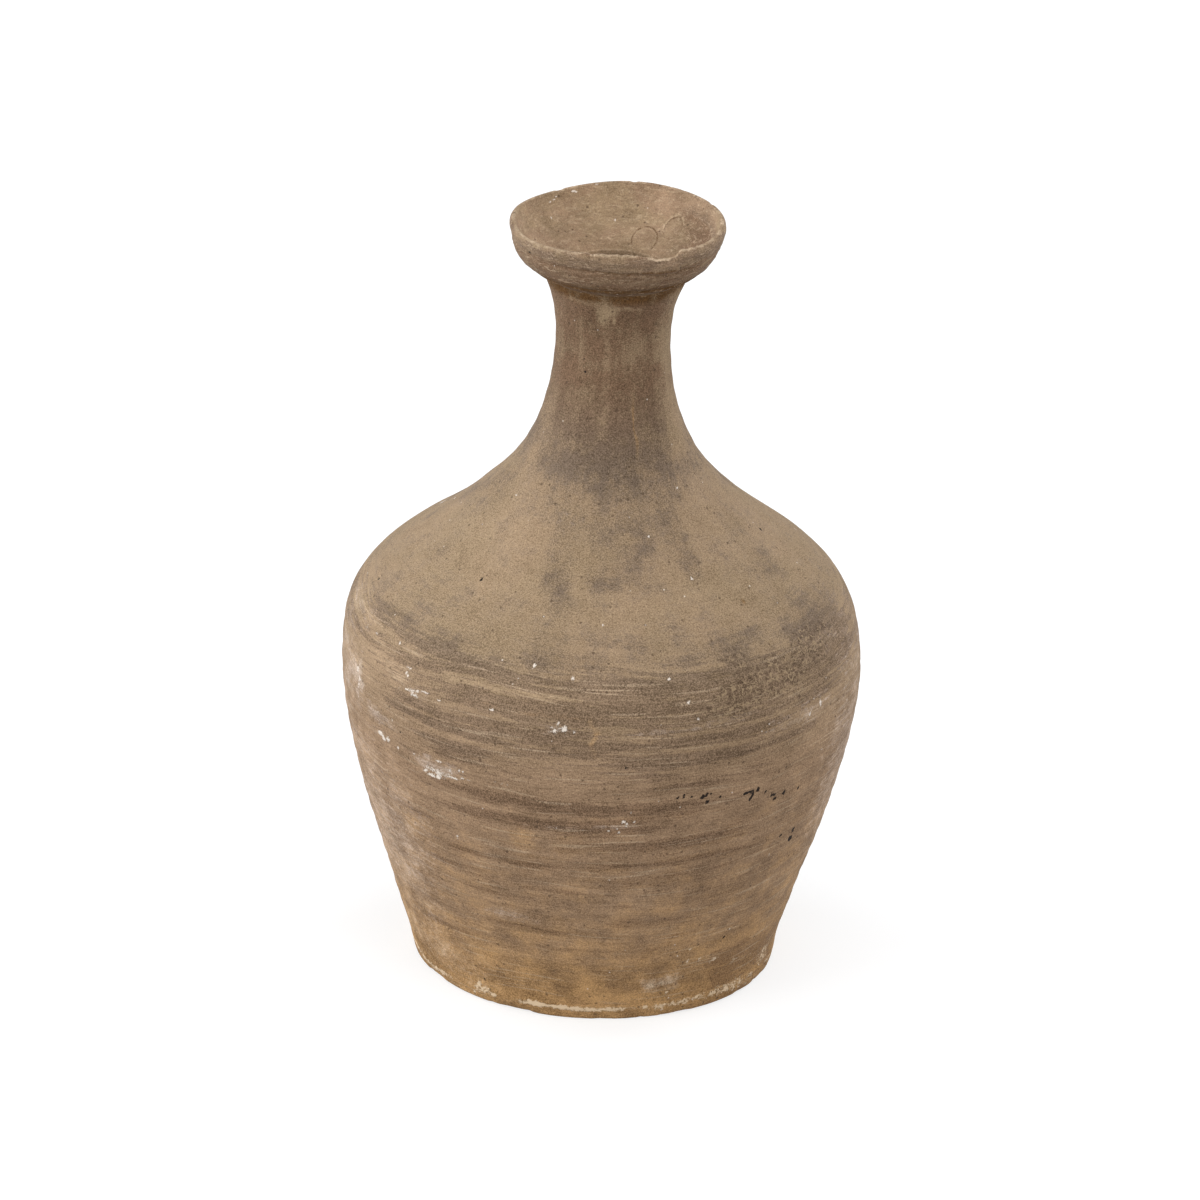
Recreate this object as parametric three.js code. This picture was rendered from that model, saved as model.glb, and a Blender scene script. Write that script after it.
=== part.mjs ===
// A dish-mouthed wine jug of unglazed earthenware, made as a potter makes one of this size:
// a flat slab, a lower body, a shoulder, a neck and a dish-shaped mouth are thrown apart,
// stacked edge to edge and luted with rings of soft clay, three of them pressed into a coil inside.
// Millimetres, +Z up. The origin is the centre of the underside; the photographed front faces -Y.
import * as THREE from "three";

// Base slab
const BASE_THICKNESS = 8;
const BASE_RADIUS = 88.95;
const BASE_EDGE_ROUNDING = 1.6;

// Luting clay between two sections, and the coils and cove pressed in behind it
const LUTE_THICKNESS = 1;
const COIL_CLEARANCE = 0.3;
const COVE_WIDTH = 11;
const COVE_HEIGHT = 12;
const BELLY_COIL_THICKNESS = 3;
const BELLY_COIL_HALF_HEIGHT = 9;
const NECK_COIL_THICKNESS = 2.4;
const NECK_COIL_HALF_HEIGHT = 7;

// Lower body: rises are measured from its foot, the belly's drop from the seam above it,
// and slopes are radius gained per height
const LOWER_BODY_HEIGHT = 181;
const FOOT_SLOPE = 0.19;
const HEEL_RISE = 21;
const HEEL_RADIUS = 95.6;
const HEEL_SLOPE = 0.293;
const FLANK_RISE = 81;
const FLANK_RADIUS = 114.2;
const FLANK_SLOPE = 0.26;
const BELLY_DROP = 36.3;
const BELLY_RADIUS = 125;

// Shoulder: it turns inwards above the seam at the belly and sweeps up to the neck
const BELLY_SEAM_RADIUS = 114.7;
const BELLY_SEAM_SLOPE = -0.74;
const SHOULDER_HEIGHT = 67;
const SHOULDER_TURN_RISE = 33;
const SHOULDER_TURN_RADIUS = 74.8;
const SHOULDER_TURN_SLOPE = -1.17;

// Neck: its throat drops below the seam at the mouth
const NECK_SEAM_RADIUS = 42.4;
const NECK_SEAM_SLOPE = -0.584;
const NECK_HEIGHT = 90;
const THROAT_DROP = 27.3;
const THROAT_RADIUS = 27.3;
const MOUTH_SEAM_RADIUS = 34.7;
const MOUTH_SEAM_SLOPE = 0.52;
const MOUTH_BORE_RADIUS = 21.5;

// Dish mouth: its bowl's side is set in from the inner edge of the lip
const DISH_HEIGHT = 26;
const DISH_FLARE_SLOPE = 1.96;
const LIP_RADIUS = 51;
const LIP_SLOPE = 0.25;
const LIP_ROUNDING_HEIGHT = 3.2;
const LIP_ROUNDING_WIDTH = 2.2;
const LIP_INNER_ROUNDING = 1;
const BOWL_FLOOR_RISE = 3.5;
const BOWL_FLOOR_SLOPE = 3;
const BOWL_SIDE_RISE = 13;
const BOWL_SIDE_INSET = 7.3;
const BOWL_SIDE_SLOPE = 0.95;

// The worn dip in the lip, to the right of the front
const CHIP_DEPTH = 3.8;
const CHIP_HALF_ANGLE = 11;
const CHIP_AZIMUTH = -60;
const CHIP_REACH = 11;

// Wall thicknesses, square to the wall
const BODY_WALL = 7.5;
const NECK_WALL = 7.3;

// Facets: flats around the axis, and the longest step up a wall and up the dish
const FLATS_AROUND = 48;
const WALL_STEP = 16;
const DISH_STEP = 4;
const ROUNDING_STEPS = 3;
const COIL_STEPS = 4;

// The stack of sections, from the table up
const baseTop = BASE_THICKNESS;
const lowerBodyFoot = baseTop + LUTE_THICKNESS;
const lowerBodyTop = lowerBodyFoot + LOWER_BODY_HEIGHT;
const shoulderFoot = lowerBodyTop + LUTE_THICKNESS;
const shoulderTop = shoulderFoot + SHOULDER_HEIGHT;
const neckFoot = shoulderTop + LUTE_THICKNESS;
const neckTop = neckFoot + NECK_HEIGHT;
const dishFoot = neckTop + LUTE_THICKNESS;
const lipTop = dishFoot + DISH_HEIGHT;

const firedClay = new THREE.MeshStandardMaterial({ color: 0x9d8467, roughness: 0.82, metalness: 0 });
const slabClay = new THREE.MeshStandardMaterial({ color: 0x8c6f52, roughness: 0.88, metalness: 0 });
const lutingClay = new THREE.MeshStandardMaterial({ color: 0x846b56, roughness: 0.9, metalness: 0 });

function station(height, radius, slope) {
  return { height, radius, slope };
}

// The same place on the far side of a lute, carried on along the seam's slope.
function acrossLute({ height, radius, slope }) {
  return station(height + LUTE_THICKNESS, radius + slope * LUTE_THICKNESS, slope);
}

// A wall line through stations: one cubic curve for each pair, with height even along it.
function wallLine(stations) {
  const line = new THREE.CurvePath();
  stations.slice(1).forEach((top, i) => {
    const foot = stations[i];
    const third = (top.height - foot.height) / 3;
    line.add(
      new THREE.CubicBezierCurve(
        new THREE.Vector2(foot.radius, foot.height),
        new THREE.Vector2(foot.radius + foot.slope * third, foot.height + third),
        new THREE.Vector2(top.radius - top.slope * third, top.height - third),
        new THREE.Vector2(top.radius, top.height),
      ),
    );
  });
  return line;
}

// The stations of a wall's inner face, set in by the wall's thickness square to its slope.
function setIn(stations, wall) {
  return stations.map(({ height, radius, slope }) =>
    station(height, radius - wall * Math.hypot(1, slope), slope),
  );
}

// Points along a wall line, from its foot to its top.
function pointsAlong(line, longestStep) {
  return line.curves.flatMap((curve, i) => {
    const rise = curve.v3.y - curve.v0.y;
    const points = curve.getPoints(Math.max(2, Math.ceil(rise / longestStep)));
    return i === 0 ? points : points.slice(1);
  });
}

// A wall's face, as the points of its wall line.
function wallFace(stations) {
  return pointsAlong(wallLine(stations), WALL_STEP);
}

// The radius of a faceted wall face at a height; past either end it runs on straight.
function radiusAt(face, height) {
  const next = face.findIndex((point, i) => i > 0 && height <= point.y);
  const top = next < 0 ? face.length - 1 : next;
  const [a, b] = [face[top - 1], face[top]];
  return THREE.MathUtils.mapLinear(height, a.y, b.y, a.x, b.x);
}

// A closed ring or disc turned from an outline of (radius, height) points, anticlockwise.
function turned(name, outline, material) {
  const closed = outline[0].x === 0 ? outline : [...outline, outline[0]];
  const mesh = new THREE.Mesh(new THREE.LatheGeometry(closed, FLATS_AROUND), material);
  mesh.name = name;
  return mesh;
}

// A thrown section: its outer face up, then its inner face down.
function section(name, outerFace, innerFace) {
  return turned(name, [...outerFace, ...innerFace.toReversed()], firedClay);
}

// Part of an ellipse around (radius, height), from one angle to another in quarter turns.
function quarter(radius, height, width, rise, from, to) {
  const turn = Math.PI / 2;
  const curve = new THREE.EllipseCurve(radius, height, width, rise, from * turn, to * turn, to < from);
  return curve.getPoints(ROUNDING_STEPS);
}

// Wall lines. Each seam's stations are shared by the sections on its two sides.
const footSeam = station(baseTop, BASE_RADIUS, FOOT_SLOPE);
const bellySeam = station(lowerBodyTop, BELLY_SEAM_RADIUS, BELLY_SEAM_SLOPE);
const neckSeam = station(shoulderTop, NECK_SEAM_RADIUS, NECK_SEAM_SLOPE);
const mouthSeam = station(neckTop, MOUTH_SEAM_RADIUS, MOUTH_SEAM_SLOPE);

const lowerBodyStations = [
  acrossLute(footSeam),
  station(lowerBodyFoot + HEEL_RISE, HEEL_RADIUS, HEEL_SLOPE),
  station(lowerBodyFoot + FLANK_RISE, FLANK_RADIUS, FLANK_SLOPE),
  station(lowerBodyTop - BELLY_DROP, BELLY_RADIUS, 0),
  bellySeam,
];
const shoulderStations = [
  acrossLute(bellySeam),
  station(shoulderFoot + SHOULDER_TURN_RISE, SHOULDER_TURN_RADIUS, SHOULDER_TURN_SLOPE),
  neckSeam,
];
const neckStations = [
  acrossLute(neckSeam),
  station(neckTop - THROAT_DROP, THROAT_RADIUS, 0),
  mouthSeam,
];

const lowerBodyInner = wallFace(setIn(lowerBodyStations, BODY_WALL));
const shoulderInner = wallFace(setIn(shoulderStations, BODY_WALL));
const neckInner = wallFace([
  ...setIn(neckStations.slice(0, 1), BODY_WALL),
  ...setIn(neckStations.slice(1, 2), NECK_WALL),
  station(neckTop, MOUTH_BORE_RADIUS, 0),
]);

// The flat disc that the jug stands on, with its lower edge rounded by wear.
function baseSlab() {
  const flat = BASE_RADIUS - baseTop * FOOT_SLOPE - BASE_EDGE_ROUNDING;
  const rounding = quarter(flat, BASE_EDGE_ROUNDING, BASE_EDGE_ROUNDING, BASE_EDGE_ROUNDING, 3, 4);
  const top = [new THREE.Vector2(BASE_RADIUS, baseTop), new THREE.Vector2(0, baseTop)];
  return turned("base_slab", [new THREE.Vector2(0, 0), ...rounding, ...top], slabClay);
}

// The clay in the foot seam, with a cove pressed into the corner inside, however far the wall leans.
function baseLute() {
  const wallFoot = acrossLute(footSeam);
  const behindWall = (height) =>
    new THREE.Vector2(radiusAt(lowerBodyInner, height) - COIL_CLEARANCE, height);
  const corner = behindWall(baseTop);
  const coveTop = behindWall(baseTop + COVE_HEIGHT);
  const coveToe = new THREE.Vector2(corner.x - COVE_WIDTH, baseTop);
  const hollow = new THREE.QuadraticBezierCurve(coveTop, corner, coveToe);
  const outline = [
    new THREE.Vector2(footSeam.radius, baseTop),
    new THREE.Vector2(wallFoot.radius, lowerBodyFoot),
    behindWall(lowerBodyFoot),
    ...hollow.getPoints(ROUNDING_STEPS),
  ];
  return turned("base_luting_ring", outline, lutingClay);
}

// The clay in a seam between two walls, with a coil smoothed down over the joint inside.
function coiledLute(name, seam, lowerInner, upperInner, thickness, halfHeight) {
  const above = acrossLute(seam);
  const middle = seam.height + LUTE_THICKNESS / 2;
  const behind = (face, height) => new THREE.Vector2(radiusAt(face, height) - COIL_CLEARANCE, height);
  const heights = (from, to) =>
    Array.from({ length: COIL_STEPS }, (_, i) => THREE.MathUtils.lerp(from, to, i / (COIL_STEPS - 1)));
  const up = heights(above.height, middle + halfHeight).map((h) => behind(upperInner, h));
  const down = heights(middle - halfHeight, seam.height).map((h) => behind(lowerInner, h));
  const faces = [...down, ...up];
  const bulge = faces.slice(1, -1).map(({ x, y }) => {
    const swell = Math.sqrt(1 - ((y - middle) / halfHeight) ** 2);
    return new THREE.Vector2(x - thickness * swell, y);
  });
  const outline = [
    new THREE.Vector2(seam.radius, seam.height),
    new THREE.Vector2(above.radius, above.height),
    ...up,
    ...bulge.reverse(),
    ...down,
  ];
  return turned(name, outline, lutingClay);
}

// The thin clay between neck and dish, wiped flush inside and out.
function mouthLute() {
  const outline = [
    new THREE.Vector2(MOUTH_SEAM_RADIUS, neckTop),
    new THREE.Vector2(MOUTH_SEAM_RADIUS, dishFoot),
    new THREE.Vector2(MOUTH_BORE_RADIUS, dishFoot),
    new THREE.Vector2(MOUTH_BORE_RADIUS, neckTop),
  ];
  return turned("mouth_luting_ring", outline, lutingClay);
}

// The flared dish: outside up to the rounded lip, then down the bowl to the bore.
function dishMouth() {
  const lipTurn = lipTop - LIP_ROUNDING_HEIGHT;
  const crest = LIP_RADIUS - LIP_ROUNDING_WIDTH;
  const bowlTop = lipTop - LIP_INNER_ROUNDING;
  const bowlRadius = crest - LIP_INNER_ROUNDING;
  const outside = wallLine([
    station(dishFoot, MOUTH_SEAM_RADIUS, DISH_FLARE_SLOPE),
    station(lipTurn, LIP_RADIUS, LIP_SLOPE),
  ]);
  const bowl = wallLine([
    station(dishFoot + BOWL_FLOOR_RISE, MOUTH_BORE_RADIUS, BOWL_FLOOR_SLOPE),
    station(dishFoot + BOWL_SIDE_RISE, bowlRadius - BOWL_SIDE_INSET, BOWL_SIDE_SLOPE),
    station(bowlTop, bowlRadius, LIP_SLOPE),
  ]);
  const outline = [
    ...pointsAlong(outside, DISH_STEP),
    ...quarter(crest, lipTurn, LIP_ROUNDING_WIDTH, LIP_ROUNDING_HEIGHT, 0, 1).slice(1),
    ...quarter(crest, bowlTop, LIP_INNER_ROUNDING, LIP_INNER_ROUNDING, 1, 2).slice(1, -1),
    ...pointsAlong(bowl, DISH_STEP).reverse(),
    new THREE.Vector2(MOUTH_BORE_RADIUS, dishFoot),
  ];
  const mesh = turned("dish_mouth", outline, firedClay);
  wearLip(mesh.geometry);
  return mesh;
}

// Lowers the lip to a smooth dip at the chip's azimuth, fading out down the dish.
function wearLip(geometry) {
  const place = geometry.attributes.position;
  const front = THREE.MathUtils.degToRad(CHIP_AZIMUTH);
  const spread = THREE.MathUtils.degToRad(CHIP_HALF_ANGLE);
  for (let i = 0; i < place.count; i += 1) {
    const height = place.getY(i);
    const azimuth = Math.atan2(-place.getZ(i), place.getX(i));
    const away = Math.atan2(Math.sin(azimuth - front), Math.cos(azimuth - front)) / spread;
    const nearLip = THREE.MathUtils.smoothstep(height, lipTop - CHIP_REACH, lipTop);
    place.setY(i, height - CHIP_DEPTH * nearLip * Math.exp(-away * away));
  }
  geometry.computeVertexNormals();
}

// The lathe's axis is Y, so the jug is turned once to stand along Z.
const jug = new THREE.Group();
jug.rotation.x = Math.PI / 2;
jug.add(
  baseSlab(),
  baseLute(),
  section("lower_body", wallFace(lowerBodyStations), lowerBodyInner),
  coiledLute(
    "belly_luting_ring",
    bellySeam,
    lowerBodyInner,
    shoulderInner,
    BELLY_COIL_THICKNESS,
    BELLY_COIL_HALF_HEIGHT,
  ),
  section("shoulder", wallFace(shoulderStations), shoulderInner),
  coiledLute(
    "neck_luting_ring",
    neckSeam,
    shoulderInner,
    neckInner,
    NECK_COIL_THICKNESS,
    NECK_COIL_HALF_HEIGHT,
  ),
  section("neck", wallFace(neckStations), neckInner),
  mouthLute(),
  dishMouth(),
);

const part = new THREE.Group();
part.add(jug);

export default part;
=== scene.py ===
"""Dresses the packed wine jug: its thrown clay sections, luted joints and stains, and a plain stage."""

import math
from collections import namedtuple
from types import SimpleNamespace

import bpy
import numpy as np
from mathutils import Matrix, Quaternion, Vector


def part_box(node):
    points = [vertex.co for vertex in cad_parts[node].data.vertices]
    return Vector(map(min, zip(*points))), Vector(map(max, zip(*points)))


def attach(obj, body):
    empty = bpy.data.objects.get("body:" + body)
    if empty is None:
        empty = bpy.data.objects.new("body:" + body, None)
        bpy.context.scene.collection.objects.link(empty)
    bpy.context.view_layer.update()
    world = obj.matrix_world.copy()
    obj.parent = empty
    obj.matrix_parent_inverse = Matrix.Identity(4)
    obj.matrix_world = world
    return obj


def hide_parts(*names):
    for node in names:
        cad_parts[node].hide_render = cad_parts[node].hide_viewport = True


bl_info = {
    "name": "Dish-mouthed wine jug",
    "version": (1, 0, 0),
    "blender": (4, 5, 0),
    "location": "3D View > Sidebar > Jug",
    "description": "Builds the jug's clay sections on the packed frame, with a floor, lamps and a camera",
    "category": "Object",
}

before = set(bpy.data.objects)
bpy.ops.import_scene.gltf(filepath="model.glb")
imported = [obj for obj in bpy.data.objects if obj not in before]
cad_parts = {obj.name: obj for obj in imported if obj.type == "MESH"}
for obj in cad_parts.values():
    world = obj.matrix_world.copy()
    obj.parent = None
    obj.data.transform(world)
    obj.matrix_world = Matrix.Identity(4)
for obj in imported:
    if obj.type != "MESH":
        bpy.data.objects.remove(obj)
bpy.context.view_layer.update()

MM = 0.001
FULL_TURN = 360.0

# How close to the axis or to the plane y = 0 a CAD point counts as on it, in metres.
TOUCH = 1e-5

# How far columns crowd towards the front, in degrees.
FRONT_CROWDING = 20.0

# Steps along the outer line and on the joints' outer strips, and the longest chord of the dish's outline.
LINE_STEP = 0.1 * MM
STRIP_STEP = 0.5 * MM
LONGEST_CHORD = 1.6 * MM

# Millimetres between the fine throwing ridges.
FINE_RIDGE = 4.3

# Turns are degrees to the right of the photographed front, heights are millimetres above the floor.
Mark = namedtuple("Mark", "turn height reach thick depth climb", defaults=(0.0,))
Mark.__doc__ = "A soft stain: middle, half length in degrees, half thickness, depth, and rise per degree."
Spot = namedtuple("Spot", "turn height wide tall depth", defaults=(1.0,))
Spot.__doc__ = "A crisp spot: middle, half width and half height in millimetres, and strength."
Dent = namedtuple("Dent", "turn height size depth")
Dent.__doc__ = "A small loss: middle, half size and depth in millimetres."
Ring = namedtuple("Ring", "x y wide deep depth")
Ring.__doc__ = "A dried ring in plan: middle, half width, half depth, and darkness, below 0 if pale."
Groove = namedtuple("Groove", "height spread depth front climbs")
Groove.__doc__ = "A tool line: height, half width, depth, the share only the front has, and if it climbs."
Noise = namedtuple("Noise", "cells tall seed")
Noise.__doc__ = "Smooth noise: knots round the jug, millimetres between knots up it, and seed."
Face = namedtuple("Face", "line kind")
Face.__doc__ = "A run of an outline: rows of radius and height, and outer, bowl, joint, inner or under."


def table(kind, *rows):
    """Named rows made from plain ones."""
    return tuple(kind(*row) for row in rows)


# Rows of knots in a grid of noise.
KNOT_ROWS = 257

# Noise in the wall's shape.
WANDER = Noise(7, 60.0, 1)
FINE_WANDER = Noise(9, 35.0, 2)
BIG_LUMPS = Noise(26, 22.0, 3)
SMALL_LUMPS = Noise(70, 8.0, 4)
SAND = Noise(420, 1.7, 5)
SEAM_BREAKS = Noise(18, 50.0, 6)
FOOT_NICKS = Noise(110, 3.0, 7)
LIP_TEETH = Noise(97, 1.0, 8)
BOWL_LUMPS = Noise(60, 6.0, 9)
LIP_FRAY = Noise(230, 1.0, 10)
TORN_CLAY = Noise(150, 1.2, 11)

# Noise that shakes the stains.
MARK_DRIFT = Noise(80, 6.0, 21)
MARK_FRAY = Noise(300, 2.0, 22)
MARK_LIFT = Noise(60, 8.0, 23)
MARK_RIPPLE = Noise(280, 1.8, 24)
LIP_RUB = Noise(90, 2.5, 25)
FOOT_RUB = Noise(60, 3.0, 26)

# Smoke and dirt, from the foot to the belly joint.
BODY_SMOKE = table(
    Mark,
    (-50, 38.5, 17, 3.4, 0.62, 0.1), (-26, 38.5, 10, 1.6, 0.42, 0.12), (-8, 42.5, 16, 1.4, 0.24),
    (15, 41, 15, 6, 0.26), (36, 29, 20, 2.6, 0.24, 0.05), (22, 51, 20, 1.6, 0.22),
    (-20, 58, 10, 4.6, 0.32), (-46, 59, 14, 1.8, 0.28), (-18, 52.5, 20, 2, 0.28), (15, 60, 15, 3.2, 0.38),
    (-19, 71.2, 18, 1.9, 0.44), (12, 70.5, 18, 1.2, 0.3), (-39, 80.5, 9, 2.6, 0.55),
    (-14, 79, 16, 1.4, 0.35), (-16, 87, 3.4, 5, 0.26), (8, 84.5, 3.4, 6, 0.28), (27, 88.5, 19, 1.7, 0.5),
    (-28, 92.4, 18, 1.8, 0.6), (24, 96, 26, 1.8, 0.6, 0.02), (-48, 104.5, 10, 1.8, 0.6),
    (21, 107, 19, 2.8, 0.8, 0.03), (-10, 117.5, 27, 2.9, 0.98, 0.01), (-54, 116, 17, 1.3, 0.35),
    (-4, 127.8, 33, 3.7, 0.98, 0.02), (-46, 127, 10, 1.4, 0.4), (-39, 139.2, 9, 1.3, 0.6),
    (20, 139, 11, 1.9, 0.65), (37, 143.5, 6, 2.5, 0.65), (13, 145.8, 6, 1.8, 0.6),
    (-32, 144.3, 8, 1.8, 0.7), (-33, 150, 12, 3, 0.98), (-58, 143.5, 10, 0.9, 0.45),
    (21, 152.2, 19, 3, 0.9), (52, 152.5, 13, 3.2, 0.8), (-38, 158.6, 18, 2.6, 0.95, 0.02),
    (20, 161.4, 21, 2.2, 0.85), (-40, 164.3, 10, 1.8, 0.85), (-14, 164.5, 16, 4.6, 0.6),
    (15, 176, 17, 4, 0.9), (-6, 176, 12, 3.4, 0.65), (-25, 175.5, 10, 3.4, 0.75),
    (13, 186.8, 25, 2.6, 0.62), (-43, 183, 5, 1.2, 0.8), (-64, 189, 5, 1.2, 0.75),
    (38, 181, 13, 10, 0.45), (66, 183, 12, 11, 0.6), (0, 186.5, 52, 4.6, 0.46),
    # The mark at turn 58 and height 17 darkens the lower right of the foot.
    (-58, 192.5, 20, 3.6, 0.42, -0.03), (58, 17, 28, 20, 0.56), (44, 170, 26, 16, 0.12),
)

# Dark drips and blots below the neck, and the stain on the neck itself.
UPPER_SMOKE = table(
    Mark,
    (4, 261, 50, 11, 0.14), (6, 248, 46, 12, 0.1), (8, 239, 34, 13, 0.11), (-75, 243, 14, 9, 0.36),
    (-19, 238, 5.5, 13, 0.16), (-18.5, 225, 3, 6, 0.28), (-16, 219.5, 5, 4, 0.26, -0.3),
    (-12, 214.2, 7.5, 3, 0.24), (11, 233, 10, 13, 0.18), (8, 224, 6, 6, 0.24),
    (-0.5, 222.5, 6.5, 3.4, 0.32), (33, 238, 7, 13, 0.26), (33.5, 226, 3.2, 5, 0.29),
    (70, 235.5, 9, 9, 0.26), (65.5, 217.5, 6, 5, 0.24), (-70, 216.5, 5, 6, 0.2), (36, 198.5, 9, 5, 0.34),
    (66, 196, 13, 9, 0.4), (-7.5, 196.5, 11, 3, 0.3), (-41, 192, 6, 2.4, 0.4), (0, 203, 60, 7, 0.14),
    (-22, 337.5, 7.5, 5, 0.85), (7, 338, 11, 4.6, 0.85), (-48, 317, 9, 18, 0.4),
    (-53, 286, 4.4, 5.2, 0.35), (-53, 263, 5, 4, 0.4), (44, 280, 12, 13, 0.4), (10, 275, 15, 17, 0.54),
    (10, 287, 8, 6, 0.35), (-20, 281, 9, 12, 0.44), (-14, 371.6, 32, 1.9, 0.3),
    # The marks at 366.9 and 355.4 mm are painted shade in the dish's tool line and in the crevice under
    # it, over their smoke.
    (14, 366.9, 46, 0.8, 0.92, -0.03), (5, 355.4, 60, 1.5, 0.85), (4, 361, 60, 3.4, 0.3),
)

# Places where the stain was rubbed or run off and the tan clay shows.
CLEAN = table(
    Mark,
    (-38, 37.2, 16, 0.7, 0.85, 0.25), (-13, 49.5, 23, 0.7, 0.55), (-36, 55.6, 38, 0.7, 0.6),
    (28, 57, 30, 0.7, 0.5, 0.04), (21, 21, 4.5, 3.2, 0.8), (23, 14, 2.5, 0.9, 0.6),
    (-4, 122.4, 26, 0.9, 0.85), (-18, 137, 22, 1.6, 0.45), (14, 132.8, 20, 1, 0.45),
    (-35, 154.4, 15, 1.2, 0.85), (20, 157, 20, 0.9, 0.8), (12, 175, 22, 0.5, 0.75),
    (-19, 181.8, 17, 1.9, 0.85), (-67, 155, 1.1, 8, 0.55), (-1, 166.5, 0.7, 8.5, 0.55),
    (60, 209.5, 34, 0.6, 0.35), (-6, 340, 9.5, 3.6, 1), (-9, 335.8, 2.2, 2.8, 0.8), (2, 335.6, 2, 3, 0.8),
    (12, 342.6, 14, 0.7, 0.6, -0.05), (-30, 344.4, 20, 1.8, 0.45), (-5, 312, 3.4, 26, 0.3),
    (-31, 322, 4, 13, 0.22), (-62, 285, 9, 30, 0.2), (-36, 290, 8, 28, 0.16), (22, 318, 12, 16, 0.22),
    (21.5, 284, 1.6, 17, 0.34), (58, 308, 14, 34, 0.26), (62, 365.8, 7, 0.7, 0.8),
)

# Warm ochre smears.
OCHRE = table(
    Mark,
    (-16, 107.5, 3.6, 6, 0.34), (-49.5, 95, 2.6, 5, 0.34), (21.5, 284, 1.2, 16, 0.7),
    (29, 39, 2, 1.4, 0.6), (-1, 166.5, 1, 8.5, 0.5), (44.5, 211, 0.9, 0.9, 0.9),
    (-10, 174.4, 22, 0.8, 0.35),
)

# Lime left by the ground: crusts along the foot, and scratches.
LIME = table(
    Mark,
    (-3, 6.2, 17, 1.5, 0.98), (-19, 5.6, 5, 1.3, 0.72), (-60, 4.6, 13, 2, 0.66), (-36, 6.6, 4, 2.4, 0.58),
    (27, 6, 10, 2, 0.54), (43, 6.4, 9, 2.8, 0.5), (55, 6, 8, 3.6, 0.45), (66, 13, 6, 7, 0.34),
    (20.8, 20, 5.6, 5, 0.5), (38, 28, 1.8, 1.9, 0.42), (48, 23, 1.4, 1.9, 0.4),
    (-39, 170.9, 3.8, 0.5, 0.8, -0.12), (-38, 133.2, 4.6, 2.8, 0.62), (-8, 167.8, 3.2, 2.2, 0.3),
)

# Thin chalky veils.
VEILS = table(
    Mark,
    # The large veils on the left side, at -66 to -80 degrees, are partly painted light where the key lamp
    # falls.
    (-80, 154, 14, 30, 0.42), (-66, 76, 26, 56, 0.58), (-78, 187, 14, 6, 0.26),
    (-70, 158, 4, 5, 0.6, 0.6), (-66.8, 155, 1.4, 10, 0.8), (-57, 147, 6, 3.4, 0.75),
    (-38, 135.4, 6, 4.4, 0.85), (-45, 169.5, 6, 3, 0.45), (-8, 167.4, 7, 4.2, 0.22),
    (-21, 59, 9, 4.6, 0.55), (-4, 117, 16, 1.8, 0.34, 0.1), (20, 168, 18, 1.8, 0.45, 0.12),
    (50, 160, 12, 6, 0.35), (78, 120, 17, 66, 0.62), (20.8, 20, 7, 6, 0.8), (-50, 17, 28, 13, 0.34),
    (-20, 245, 10, 6, 0.25), (140, 120, 22, 30, 0.4), (215, 70, 26, 24, 0.4),
)

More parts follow.
